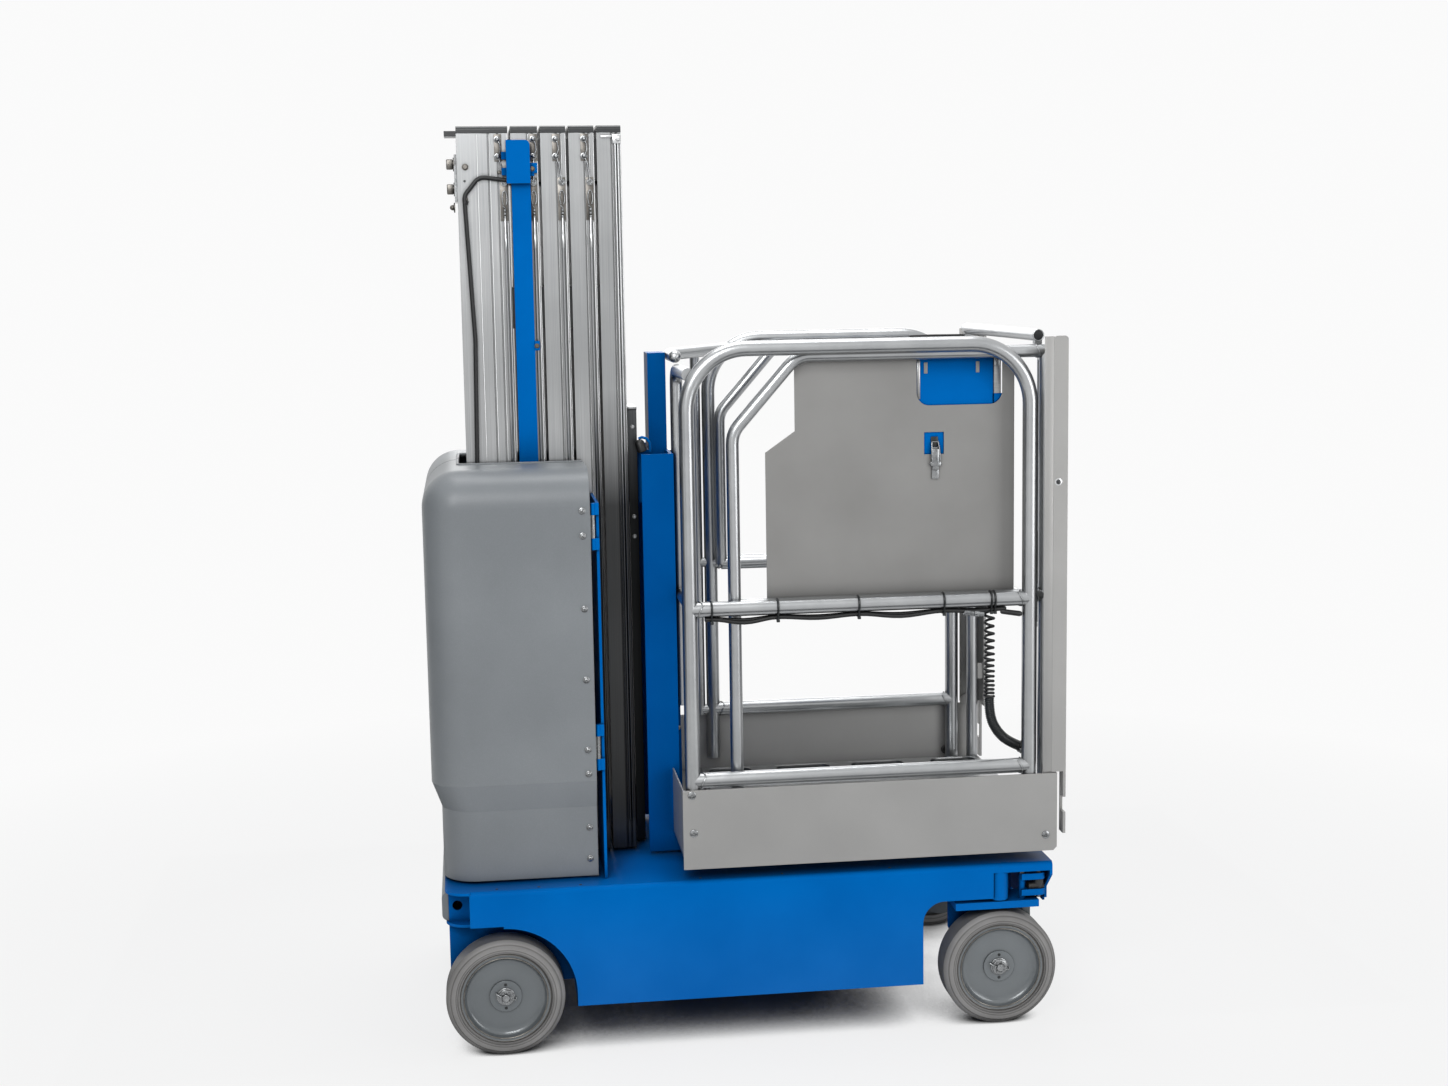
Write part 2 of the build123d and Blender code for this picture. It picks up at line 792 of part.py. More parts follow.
# carriage
def carriage_frame():
    """The blue channel on the slide bar, with the guard post on its top."""
    inside = carriage_side - carriage_wall
    front = carriage_front - carriage_wall
    frame = solid_box(slide_front, carriage_front, -carriage_side, carriage_side, carriage_bottom, carriage_top)
    frame -= solid_box(slide_front - cut_over, front, -inside, inside, carriage_bottom - cut_over,
                       carriage_top + cut_over)
    frame += solid_box(slide_front, front, -post_side, post_side, carriage_top - post_lap, carriage_top)
    frame += solid_box(post_rear, post_front, -post_side, post_side, carriage_top - post_lap, post_top)
    face = solid_box(carriage_front, carriage_front + front_plate_depth, -front_plate_side, front_plate_side,
                     floor_top + seat_gap, front_plate_top)
    for z in front_slots:
        face -= solid_box(carriage_front, carriage_front + front_plate_depth + cut_over,
                          -front_plate_side - cut_over, front_plate_side + cut_over,
                          z, z + front_slot_height)
        face += solid_box(carriage_front, carriage_front + front_plate_depth, -front_plate_side + front_slot_width,
                          front_plate_side - front_slot_width, z, z + front_slot_height)
    return frame + face


write("carriage_frame", carriage_frame())
write("carriage_slide", solid_box(slide_rear, slide_front - seat_gap, -slide_side, slide_side,
                                  carriage_bottom, slide_top))


# platform
def platform_floor():
    """The fixed floor plate on its two bearers."""
    side_in = half_width - plate - seat_gap
    under = floor_top - floor_thick
    floor = solid_box(platform_rear, platform_front, -side_in, side_in, under, floor_top)
    floor -= solid_box(platform_rear - cut_over, carriage_front + seat_gap, -carriage_side - cut_over,
                       carriage_side + cut_over, under - cut_over, floor_top + cut_over)
    for side in (-1, 1):
        floor += side_box(side, carriage_front + seat_gap, platform_front - bearer_half, bearer_y - bearer_half,
                          bearer_y + bearer_half, toe_bottom, under)
    floor += solid_box(carriage_front + seat_gap, carriage_front + bearer_end, -carriage_side, carriage_side,
                       toe_bottom, under)
    return floor


write("platform_floor", platform_floor())


def toe_boards():
    """Kick boards on both sides and at the mast end."""
    boards = []
    for side in (-1, 1):
        outline = [(platform_rear, toe_bottom), (platform_front - toe_chamfer, toe_bottom),
                   (platform_front, toe_bottom + toe_chamfer), (platform_front, toe_top), (platform_rear, toe_top)]
        board = side_sheet(outline, side * (half_width - plate), side * half_width)
        board += side_box(side, platform_rear, platform_rear + plate / 2, half_width - toe_flange, half_width,
                          floor_top + seat_gap, toe_top)
        boards.append(board)
    for side in (-1, 1):
        inner = carriage_side + move_gap
        outer = half_width - toe_flange - cut_over
        boards.append(side_box(side, platform_rear, platform_rear + plate / 2, inner, outer,
                               floor_top + seat_gap, toe_top))
    return boards


write("toe_boards", *toe_boards())


def rail_loop(side, rear, radius):
    """The outer loop of one side, foot to foot over its two bends."""
    y = side * outer_rail_y
    return tube_run([(rear, y, loop_foot), (rear, y, top_rail_z), (loop_front, y, top_rail_z),
                     (loop_front, y, floor_top + seat_gap)], radius, loop_bend)


def guard_rail(side, rear):
    """One outer loop with its mid and bottom rails."""
    loop = rail_loop(side, rear, outer_tube)
    for z in (mid_rail_z, low_rail_z):
        loop += along(outer_tube, side * outer_rail_y, z, rear, loop_front)
    return loop


def far_brace():
    """The thin post behind the far loop, on stubs of its mid and bottom rails."""
    brace = upright(far_brace_radius, far_brace_x, outer_rail_y, low_rail_z - far_brace_radius, mast_rail_z)
    for z in (mid_rail_z, low_rail_z):
        brace += along(far_brace_radius, outer_rail_y, z, far_brace_x, far_loop_rear)
    return brace


write("guard_rails", guard_rail(-1, loop_rear), guard_rail(1, far_loop_rear) + far_brace())


def mast_side_rails():
    """The tubes from both loops to the carriage's front plate, with a leg at each side of the plate."""
    x = carriage_front + mast_tube + seat_gap
    elbow_z = mast_rail_z - 2 * mast_tube - seat_gap
    near = tube_run([(x, -outer_rail_y, elbow_z), (x, -mast_leg_y, elbow_z), (x, -mast_leg_y, mast_leg_foot)],
                    mast_tube, mast_leg_bend)
    near += across(mast_mid_tube, x, mid_rail_z, -outer_rail_y, -mast_leg_y)
    near -= rail_loop(-1, loop_rear, outer_tube + seat_gap)
    near -= along(outer_tube + seat_gap, -outer_rail_y, mid_rail_z, loop_rear, loop_front)
    top = tube_run([(x, mast_rail_near_y, mast_rail_z), (x, mast_rail_bend_y, mast_rail_z),
                    (mast_rail_far_x, outer_rail_y, mast_rail_z)], mast_tube, mast_rail_bend)
    top += Pos(x, mast_rail_near_y, mast_rail_z) * Sphere(mast_tube)
    top -= rail_loop(1, far_loop_rear, outer_tube + seat_gap)
    mid_start = far_brace_x - far_brace_radius - seat_gap
    mid = tube_run([(mid_start, outer_rail_y, mid_rail_z), (x, outer_rail_y, mid_rail_z), (x, mast_leg_y, mid_rail_z)],
                   mast_mid_tube, mast_rail_bend)
    mid += upright(mast_tube, x, mast_leg_y, mast_leg_foot, front_plate_top)
    return [near, top, mid]


write("mast_side_rails", *mast_side_rails())


# extension
def extension_deck():
    """The rolling deck plate with long openings."""
    y = inner_rail_y - inner_tube
    deck = solid_box(roll_rear, platform_front, -y, y, deck_z, deck_z + deck_thick)
    for start, end in deck_holes:
        hole = solid_box(roll_rear + start, roll_rear + end, deck_hole_near, deck_hole_far, deck_z - cut_over,
                         deck_z + deck_thick + cut_over)
        deck -= fillet(hole.edges().filter_by(Axis.Z), deck_hole_corner)
    return deck


write("extension_deck", extension_deck())


def slide_strips():
    """Plastic strips on the fixed floor under the rolling deck, and on the slide bar's rear face."""
    strips = []
    for side in (-1, 1):
        outer = inner_rail_y - glide_inset
        strips.append(side_box(side, roll_rear + glide_inset, platform_front - glide_inset, outer - glide_width, outer,
                               floor_top, deck_z - seat_gap))
    for z in (carriage_bottom + pad_width, carriage_top - post_lap):
        strips.append(solid_box(slide_rear - column_gap + seat_gap, slide_rear, -pad_width, pad_width,
                                z, z + pad_height))
    return strips


write("slide_strips", *slide_strips())


def extension_rail(side, foot_x, foot_z):
    """One inner rail with its slanted rear end and the end tube."""
    y = side * inner_rail_y
    head_x = foot_x + slant_head_x - slant_foot_x
    rail = tube_run([(foot_x, y, foot_z), (foot_x, y, slant_foot_z), (head_x, y, inner_top_z),
                     (end_tube_x, y, inner_top_z)], inner_tube, slant_bend)
    rail += along(inner_tube, y, mid_rail_z, foot_x, end_tube_x)
    rail += upright(inner_tube, end_tube_x, y, deck_z + deck_thick, inner_top_z + inner_tube)
    return rail


near_rail = extension_rail(-1, slant_foot_x, deck_z + deck_thick)
far_rail = extension_rail(1, far_slant_x, mid_rail_z)
write("extension_rails", near_rail, far_rail)


def end_post(side):
    """An angle post at the entry end, with its foot bracket."""
    y = half_width
    inner_x = half_length - plate
    face = side_sheet([(end_post_rear, end_post_bottom), (half_length, end_post_bottom), (half_length, end_post_top),
                       (end_post_rear, end_post_top)], -y, -y + plate)
    face = fillet(face.edges().filter_by(Axis.Y).group_by(Axis.Z)[-1], end_post_corner)
    post = face + solid_box(inner_x, half_length, -y, -end_post_inner, end_post_bottom, end_post_top - end_post_corner)
    for z in end_tab_levels:
        post += solid_box(end_tube_x, inner_x, -inner_rail_y - end_tab_half, -inner_rail_y + end_tab_half,
                          z, z + end_tab_height)
    post += solid_box(inner_x, half_length, -y, -end_foot_inner, end_foot_bottom, end_post_bottom)
    post -= upright(inner_tube + seat_gap, end_tube_x, -inner_rail_y, end_foot_bottom, end_post_top)
    post -= solid_box(inner_x - cut_over, half_length + cut_over, -y - cut_over, -end_foot_inner - end_tab_half,
                      end_foot_low, end_foot_high)
    return post if side < 0 else mirrored(post)


write("end_posts", end_post(-1), end_post(1))


# side panel and control box
def side_panel():
    """The grey sheet on the near inner rails, with its notched rear edge and two openings."""
    y = -(inner_rail_y - inner_tube - seat_gap)
    outline = [(panel_rear_low, panel_bottom), (panel_front, panel_bottom), (panel_front, panel_top),
               (panel_rear_high, panel_top), (panel_rear_high, panel_step_high), (panel_rear_low, panel_step_low)]
    sheet = side_sheet(outline, y, y + panel_thick)
    hand = solid_box(cut_rear, cut_front, y - cut_over, y + plate, cut_bottom, panel_top + plate)
    hand = fillet(hand.edges().filter_by(Axis.Y).group_by(Axis.Z)[0], cut_corner)
    window = solid_box(window_rear, window_front, y - cut_over, y + plate, window_bottom, window_top)
    return sheet - hand - window


write("side_panel", side_panel())


def control_box():
    """The blue box that stands behind the side panel."""
    y = -(inner_rail_y - inner_tube - panel_thick - 2 * seat_gap)
    box = solid_box(box_rear, box_front, y, y + box_depth, box_bottom, panel_top)
    box -= solid_box(box_rear + box_wall, box_front - box_wall, y + box_wall, y + box_depth - box_wall,
                     box_bottom + box_wall, panel_top + cut_over)
    return box


write("control_box", control_box())


# entry
def entry_top_bar():
    """The fixed cross tube over the two inner rails, on its saddles."""
    bar = across(entry_tube, entry_top_x, entry_top_z, -entry_top_y, entry_top_y)
    for side in (-1, 1):
        bar += side_box(side, entry_top_x - saddle_half, entry_top_x + saddle_half, entry_top_y - 2 * saddle_half,
                        entry_top_y, inner_top_z + inner_tube + seat_gap, entry_top_z)
    return bar


write("entry_top_bar", entry_top_bar())


def entry_guide(side):
    """A guide rod held off the end tube by a stub at each end."""
    rod = upright(guide_radius, guide_x, side * guide_y, guide_bottom, guide_top)
    end_face = inner_rail_y - inner_tube - seat_gap
    for z in (guide_bottom - guide_stub, guide_top):
        rod += across(guide_stub, guide_x, z, side * guide_y, side * end_face)
    return rod


write("entry_guides", entry_guide(-1), entry_guide(1))


def entry_mid_rail():
    """The entry's middle rail, lifted along its two guide rods."""
    rail = across(slide_rail_tube, guide_x, slide_rail_z, -guide_y, guide_y)
    for side in (-1, 1):
        y = side * guide_y
        rail += upright(slide_eye, guide_x, y, slide_rail_z - slide_eye_half, slide_rail_z + slide_eye_half)
    for side in (-1, 1):
        rail -= upright(guide_radius + axle_fit, guide_x, side * guide_y, guide_bottom, guide_top)
    return rail


write("entry_mid_rail", entry_mid_rail())


# cables
def rail_cables():
    """Two leads tied under the near mid rail."""
    z = mid_rail_z - outer_tube - seat_gap - cable_radius
    leads = []
    for lead, offset in ((0, -cable_radius - seat_gap / 2), (1, cable_radius + seat_gap / 2)):
        leads.append(along(cable_radius, -outer_rail_y + offset, z, cable_rear + lead * cable_radius, cable_front))
    return leads


write("rail_cables", *rail_cables())


def coil_lead():
    """The curly lead's outer shape, hanging from the cables to the conduit."""
    top = mid_rail_z - outer_tube - 2 * (seat_gap + cable_radius) - seat_gap
    return upright(coil_radius, coil_x, -coil_y, coil_bottom + seat_gap, top)


write("coil_lead", coil_lead())


def conduit():
    """The corrugated conduit from the curly lead to the front post, in even turns."""
    points = [(coil_x, -coil_y, coil_bottom)]
    for corner, run in enumerate(conduit_runs):
        x, y, z = points[-1]
        angle = math.radians(conduit_turn * corner)
        points.append((x + run * math.sin(angle), y, z - run * math.cos(angle)))
    half_turn = math.tan(math.radians(conduit_turn / 2))
    radii = [bend_share * min(pair) / half_turn for pair in zip(conduit_runs, conduit_runs[1:])]
    print(f"conduit length {sum(conduit_runs)}, bend radii {[round(radius) for radius in radii]}")
    post = upright(outer_tube + seat_gap, loop_front, -outer_rail_y, toe_bottom, top_rail_z)
    return tube_run(points, conduit_radius, radii) - post


write("conduit", conduit())
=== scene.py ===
import bpy
import bmesh
from math import cos, sin, pi, radians, sqrt, copysign
from mathutils import Vector, Matrix


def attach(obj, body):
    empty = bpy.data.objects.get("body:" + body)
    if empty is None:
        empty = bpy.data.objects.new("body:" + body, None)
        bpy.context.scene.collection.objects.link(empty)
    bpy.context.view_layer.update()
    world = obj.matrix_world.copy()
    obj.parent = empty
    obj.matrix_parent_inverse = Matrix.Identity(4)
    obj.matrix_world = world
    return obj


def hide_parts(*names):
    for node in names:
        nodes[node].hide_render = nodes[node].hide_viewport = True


# vertical mast lift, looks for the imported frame
# X runs from the mast to the entry, Y away from the camera, Z up, metres
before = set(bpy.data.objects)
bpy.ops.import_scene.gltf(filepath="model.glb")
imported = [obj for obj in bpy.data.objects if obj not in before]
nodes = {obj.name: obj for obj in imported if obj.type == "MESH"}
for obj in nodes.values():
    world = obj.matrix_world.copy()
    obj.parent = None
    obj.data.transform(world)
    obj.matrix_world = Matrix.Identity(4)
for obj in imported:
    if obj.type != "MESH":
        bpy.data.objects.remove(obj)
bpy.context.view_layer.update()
mm = 0.001
nearFar = (("near", -1), ("far", 1))
print("stage: frame loaded", len(nodes), "nodes")


# small tools for nodes and meshes
def toLinear(code):
    parts = [int(code[i:i + 2], 16) / 255 for i in (1, 3, 5)]
    return tuple(c / 12.92 if c <= 0.04045 else ((c + 0.055) / 1.055) ** 2.4 for c in parts) + (1.0,)


# one node, its settings, its plain input values and its incoming links
# a link may name another node, which then gives its first output
def addNode(tree, kind, settings=None, values=None, links=None):
    node = tree.nodes.new("ShaderNode" + kind)
    for key, value in (settings or {}).items():
        setattr(node, key, value)
    for key, value in (values or {}).items():
        node.inputs[key].default_value = value
    for key, source in (links or {}).items():
        tree.links.new(getattr(source, "outputs", [source])[0], node.inputs[key])
    return node


# the tones of a ramp, its first and last before those between
def setTones(ramp, *stops):
    elements = ramp.color_ramp.elements
    for k, (position, code) in enumerate(stops):
        stop = elements[k] if k < 2 else elements.new(position)
        stop.position = position
        stop.color = toLinear(code)


def startMaterial(name, values):
    material = bpy.data.materials.new(name)
    material.use_nodes = True
    tree = material.node_tree
    tree.nodes.clear()
    shader = addNode(tree, "BsdfPrincipled", values=values)
    addNode(tree, "OutputMaterial", links={"Surface": shader})
    place = addNode(tree, "TexCoord").outputs["Object"]
    return material, tree, shader, place


# settings of a colour mix, and of one that darkens
blendTones = {"data_type": "RGBA"}
darken = {"data_type": "RGBA", "blend_type": "MULTIPLY"}


# painted shade: soft darkening in gaps and corners, from ambient occlusion
def addPaintedShade(tree, color, distance, strength):
    hollow = addNode(tree, "AmbientOcclusion", {"samples": 6}, {"Distance": distance * mm})
    level = addNode(tree, "MapRange", values={
        "From Min": 0.25, "From Max": 0.95, "To Min": 1.0 - strength}, links={"Value": hollow.outputs["AO"]})
    return addNode(tree, "Mix", darken, {0: 1.0}, {6: color, 7: level}).outputs[2]


# fine relief over edges that catch the light as if rounded
def addRelief(tree, shader, height, edge, strength, distance):
    bump = addNode(tree, "Bump", values={"Strength": strength, "Distance": distance * mm},
                   links={"Height": height, "Normal": edge})
    tree.links.new(bump.outputs[0], shader.inputs["Normal"])


# paint on sheet metal: orange peel, faint tone drift, edges lightened as rubbed paint and as a painted
# highlight, dust near the ground, painted shade in gaps
def paintMaterial(name, look):
    material, tree, shader, place = startMaterial(name, {
        "Metallic": look.get("metallic", 0.0), "Roughness": look["roughness"],
        "Coat Weight": look.get("coat", 0.0), "Coat Roughness": 0.15,
        "Specular IOR Level": look.get("gleam", 0.5),
        "Specular Tint": toLinear(look.get("tint", "#FFFFFF"))})
    drift = addNode(tree, "TexNoise", values={"Scale": 5.0, "Detail": 4.0},
                    links={"Vector": place}).outputs["Fac"]
    tone = addNode(tree, "ValToRGB", links={"Fac": drift})
    setTones(tone, (0.3, look["dark"]), (0.7, look["light"]))
    # a bent normal stands off the flat one only at an edge
    edge = addNode(tree, "Bevel", {"samples": 6}, {"Radius": look.get("edge", 1.2) * mm})
    flat = addNode(tree, "NewGeometry")
    alike = addNode(tree, "VectorMath", {"operation": "DOT_PRODUCT"},
                    links={0: edge, 1: flat.outputs["Normal"]})
    # edges take a lighter tone in patches: partly rubbed paint, partly a painted highlight where a fold
    # catches the light
    rubAndHighlight = addNode(tree, "MapRange", values={
        "From Min": 0.995, "From Max": 0.86, "To Max": look.get("wearAndHighlight", 0.35)},
        links={"Value": alike.outputs["Value"]})
    patch = addNode(tree, "TexNoise", values={"Scale": 60.0, "Detail": 6.0}, links={"Vector": place})
    chipAndHighlight = addNode(tree, "Math", {"operation": "MULTIPLY"}, links={0: rubAndHighlight, 1: patch.outputs["Fac"]})
    wornAndLit = addNode(tree, "Mix", blendTones, {7: toLinear(look["edgeWearAndHighlight"])}, {0: chipAndHighlight, 6: tone})
    height = addNode(tree, "SeparateXYZ", links={0: place})
    low = addNode(tree, "MapRange", values={"From Min": 0.34, "From Max": 0.0, "To Max": 0.12},
                  links={"Value": height.outputs["Z"]})
    grime = addNode(tree, "Math", {"operation": "MULTIPLY"}, links={0: low, 1: drift})
    dusty = addNode(tree, "Mix", blendTones, {7: toLinear("#6E6A62")}, {0: grime, 6: wornAndLit.outputs[2]})
    shaded = addPaintedShade(tree, dusty.outputs[2], look.get("deep", 30.0), look.get("shade", 0.5))
    tree.links.new(shaded, shader.inputs["Base Color"])
    peel = addNode(tree, "TexNoise", values={"Scale": look.get("peel", 700.0), "Detail": 2.0},
                   links={"Vector": place})
    addRelief(tree, shader, peel.outputs["Fac"], edge, look.get("bump", 0.12), 0.2)
    return material


# deep shade on the mast's front, low down between the covers and the carriage
# only the last column and the slide bar stand inside halfX of middleX
mastShade = {"z": (1.16, 1.42), "dark": 0.14, "middleX": -0.2575, "halfX": (0.045, 0.06)}


def addMastShade(tree, color):
    spot = addNode(tree, "NewGeometry").outputs["Position"]
    place = addNode(tree, "SeparateXYZ", links={0: spot})
    low = addNode(tree, "MapRange", values={
        "From Min": mastShade["z"][0], "From Max": mastShade["z"][1], "To Min": mastShade["dark"],
        "To Max": 1.0}, links={"Value": place.outputs["Z"]})
    aside = addNode(tree, "Math", {"operation": "ADD"}, {1: -mastShade["middleX"]},
                    {0: place.outputs["X"]})
    apart = addNode(tree, "Math", {"operation": "ABSOLUTE"}, links={0: aside})
    clear = addNode(tree, "MapRange", values={
        "From Min": mastShade["halfX"][0], "From Max": mastShade["halfX"][1]},
        links={"Value": apart})
    level = addNode(tree, "Math", {"operation": "MAXIMUM"}, links={0: low, 1: clear})
    return addNode(tree, "Mix", darken, {0: 1.0}, {6: color, 7: level}).outputs[2]


# drawn or extruded metal: fine lines along one axis, cloudy oxide, rounded edges, painted shade in its
# hollows
def metalMaterial(name, look):
    material, tree, shader, place = startMaterial(name, {"Metallic": 1.0, "Roughness": look["roughness"]})
    stretch = addNode(tree, "Mapping", values={"Scale": look["lines"]}, links={"Vector": place})
    lines = addNode(tree, "TexNoise", values={"Scale": 1.0, "Detail": 5.0, "Roughness": 0.7},
                    links={"Vector": stretch}).outputs["Fac"]
    cloud = addNode(tree, "TexNoise", values={"Scale": look.get("cloud", 7.0), "Detail": 5.0},
                    links={"Vector": place})
    blend = addNode(tree, "Math", {"operation": "MULTIPLY"}, links={0: lines, 1: cloud.outputs["Fac"]})
    tone = addNode(tree, "ValToRGB", links={"Fac": blend})
    setTones(tone, (0.12, look["dark"]), (0.42, look["light"]))
    shaded = addPaintedShade(tree, tone, look.get("hollow", 14.0), 0.75)
    # looks with the mast flag also get painted deep shade low on the last column's front
    if look.get("mast"):
        shaded = addMastShade(tree, shaded)
    tree.links.new(shaded, shader.inputs["Base Color"])
    rough = addNode(tree, "MapRange", values={
        "From Min": 0.25, "From Max": 0.75, "To Min": look["roughness"] - 0.06,
        "To Max": look["roughness"] + 0.06}, links={"Value": blend})
    tree.links.new(rough.outputs[0], shader.inputs["Roughness"])
    edge = addNode(tree, "Bevel", {"samples": 4}, {"Radius": look.get("edge", 0.8) * mm})
    addRelief(tree, shader, lines, edge, look.get("bump", 0.1), 0.1)
    return material


# moulded plastic or rubber: fine grain, cloudy tone, painted shade in gaps and corners
def mouldMaterial(name, look):
    material, tree, shader, place = startMaterial(name, {
        "Roughness": look["roughness"], "IOR": look.get("ior", 1.46)})
    cloud = addNode(tree, "TexNoise", values={"Scale": look.get("cloud", 4.0), "Detail": 6.0},
                    links={"Vector": place})
    tone = addNode(tree, "ValToRGB", links={"Fac": cloud.outputs["Fac"]})
    setTones(tone, (0.32, look["dark"]), (0.68, look["light"]))
    grain = addNode(tree, "TexVoronoi", values={"Scale": look["grain"]},
                    links={"Vector": place}).outputs["Distance"]
    speck = addNode(tree, "MapRange", values={"From Max": 0.9, "To Min": 0.9, "To Max": 1.06},
                    links={"Value": grain})
    shade = addNode(tree, "Mix", darken, {0: 1.0}, {6: tone, 7: speck})
    tree.links.new(addPaintedShade(tree, shade.outputs[2], 25.0, 0.5), shader.inputs["Base Color"])
    edge = addNode(tree, "Bevel", {"samples": 4}, {"Radius": look.get("edge", 1.0) * mm})
    addRelief(tree, shader, grain, edge, look.get("bump", 0.15), 0.15)
    return material


# materials
# blue polyester powder coat: saturated, satin, painted highlights on the edges where the steel is folded,
# strong painted shade under and between parts
bluePowderCoat = paintMaterial("bluePowderCoat", {
    "dark": "#0062B2", "light": "#006BBE", "edgeWearAndHighlight": "#3F8FD4", "roughness": 0.4, "coat": 0.02,
    "bump": 0.1, "gleam": 0.06, "tint": "#0A78D8", "deep": 75.0, "shade": 0.85})
# the same coat in the carriage and the nose, a tone deeper: painted shade, as these parts stand back in
# shadow
shadedBluePowderCoat = paintMaterial("shadedBluePowderCoat", {
    "dark": "#00529A", "light": "#005BA6", "edgeWearAndHighlight": "#3C82C0", "roughness": 0.42, "coat": 0.02,
    "bump": 0.1, "gleam": 0.05, "tint": "#0A78D8", "deep": 75.0, "shade": 0.8})
# silver grey powder coat on the side panel: even, warm and satin
silverPowderCoat = paintMaterial("silverPowderCoat", {
    "dark": "#868583", "light": "#908F8D", "edgeWearAndHighlight": "#C9C9C7", "roughness": 0.44, "metallic": 0.3,
    "bump": 0.14, "wearAndHighlight": 0.5})
# brighter silver coat of the toe boards and end posts: pale, with a faint metal glint
brightPowderCoat = paintMaterial("brightPowderCoat", {
    "dark": "#A1A09E", "light": "#A9A8A6", "edgeWearAndHighlight": "#DADAD8", "roughness": 0.42, "metallic": 0.35,
    "bump": 0.12, "wearAndHighlight": 0.5})
# dark machine enamel on axle, blocks and links: a flat charcoal that recedes under the deck
darkEnamel = paintMaterial("darkEnamel", {
    "dark": "#2A2C2E", "light": "#343739", "edgeWearAndHighlight": "#6C7073", "roughness": 0.42, "bump": 0.16})
# grey machine enamel on motors and wheels: a wet gloss that mirrors the floor
greyEnamel = paintMaterial("greyEnamel", {
    "dark": "#676C6F", "light": "#767B7E", "edgeWearAndHighlight": "#9EA1A3", "roughness": 0.26, "coat": 0.35,
    "bump": 0.03, "peel": 300.0, "metallic": 0.25, "wearAndHighlight": 0.04})
# drawn aluminium tube: even satin, mirrored dark flags along its sides
drawnAluminium = metalMaterial("drawnAluminium", {
    "dark": "#A3A5A7", "light": "#B9BBBC", "roughness": 0.36, "lines": (9.0, 9.0, 9.0), "bump": 0.015,
    "edge": 1.0, "cloud": 3.0})
# anodised extrusion of the mast: 2 mm die lines up its whole height, coarser than real to show
anodisedExtrusion = metalMaterial("anodisedExtrusion", {
    "dark": "#8D8F90", "light": "#AFB0B1", "roughness": 0.34, "lines": (500.0, 500.0, 2.0), "bump": 0.08,
    "cloud": 2.5, "edge": 0.8, "hollow": 9.0, "mast": True})
# slide bar extrusion in darker tones than the mast's: painted shade where it stands between the covers and
# the carriage
shadedExtrusion = metalMaterial("shadedExtrusion", {
    "dark": "#4E5052", "light": "#6A6C6E", "roughness": 0.36, "lines": (500.0, 500.0, 2.0), "bump": 0.08,
    "cloud": 4.0, "edge": 0.8, "mast": True})
# mill finish deck plate: rolling lines that run from mast to entry
millAluminium = metalMaterial("millAluminium", {
    "dark": "#8F9192", "light": "#B4B5B6", "roughness": 0.38, "lines": (6.0, 700.0, 700.0), "bump": 0.12})
# zinc plated fasteners and hinges: a cool, slightly mottled grey shine
zincSteel = metalMaterial("zincSteel", {
    "dark": "#7E8082", "light": "#AEB0B1", "roughness": 0.32, "lines": (400.0, 400.0, 400.0),
    "cloud": 40.0, "bump": 0.08, "edge": 0.3, "hollow": 6.0})
# bright drawn wire rope and rods, and the painted highlight bars on the columns: near white lines down the
# mast
brightSteelAndHighlight = metalMaterial("brightSteelAndHighlight", {
    "dark": "#C6C8C9", "light": "#DCDDDD", "roughness": 0.34, "lines": (90.0, 90.0, 2.0), "cloud": 5.0,
    "bump": 0.0, "edge": 0.1, "hollow": 3.0, "mast": True})
# oiled steel behind the rope ends, on rim lips and dark bolts: a brownish, dull shine
oiledSteel = metalMaterial("oiledSteel", {
    "dark": "#625F5B", "light": "#85827D", "roughness": 0.42, "lines": (60.0, 60.0, 60.0), "cloud": 30.0,
    "bump": 0.1, "edge": 0.2})
# yellow chromate on two small bolts: a dull straw tint
brassSteel = metalMaterial("brassSteel", {
    "dark": "#5C554A", "light": "#857B6C", "roughness": 0.3, "lines": (300.0, 300.0, 300.0),
    "cloud": 60.0, "edge": 0.2})
# rotomoulded polyethylene of the base cover: dull with a pebble of about 1 mm
greyPolyethylene = mouldMaterial("greyPolyethylene", {
    "dark": "#797D80", "light": "#83878A", "roughness": 0.4, "grain": 900.0, "bump": 0.12, "edge": 2.0})
# non-marking solid rubber: pale warm grey, matt
greyRubber = mouldMaterial("greyRubber", {
    "dark": "#8D8B89", "light": "#9E9C9A", "roughness": 0.5, "ior": 1.52, "grain": 1200.0, "bump": 0.14,
    "cloud": 12.0})

# painted highlights and shade of the moulded rings on the tyre's side wall, worked out from the distance to
# the axle
tyreRingShading = {"axle": (0.547, 0.128), "radii": (0.096, 0.128), "tones": (
    (0.0, "#4A4846"), (1.0, "#C8C8C8"), (0.1, "#6A6866"), (0.14, "#E6E6E6"), (0.34, "#D6D6D6"),
    (0.38, "#8C8A88"), (0.42, "#E8E8E8"), (0.66, "#DADADA"), (0.72, "#A8A6A4"), (0.78, "#F2F2F2"))}
tree = greyRubber.node_tree
tyreShader = tree.nodes["Principled BSDF"]
spot = addNode(tree, "TexCoord").outputs["Object"]
apart = addNode(tree, "SeparateXYZ", links={0: spot})
along = addNode(tree, "Math", {"operation": "ABSOLUTE"}, links={0: apart.outputs["X"]})
offset = addNode(tree, "Math", {"operation": "SUBTRACT"}, {1: tyreRingShading["axle"][0]}, {0: along})
rise = addNode(tree, "Math", {"operation": "SUBTRACT"}, {1: tyreRingShading["axle"][1]},
               {0: apart.outputs["Z"]})
spoke = addNode(tree, "CombineXYZ", links={"X": offset, "Y": rise})
radius = addNode(tree, "VectorMath", {"operation": "LENGTH"}, links={0: spoke})
share = addNode(tree, "MapRange", values={
    "From Min": tyreRingShading["radii"][0], "From Max": tyreRingShading["radii"][1]},
    links={"Value": radius.outputs["Value"]})
rings = addNode(tree, "ValToRGB", links={"Fac": share})
setTones(rings, *tyreRingShading["tones"])
before = tyreShader.inputs["Base Color"].links[0].from_socket
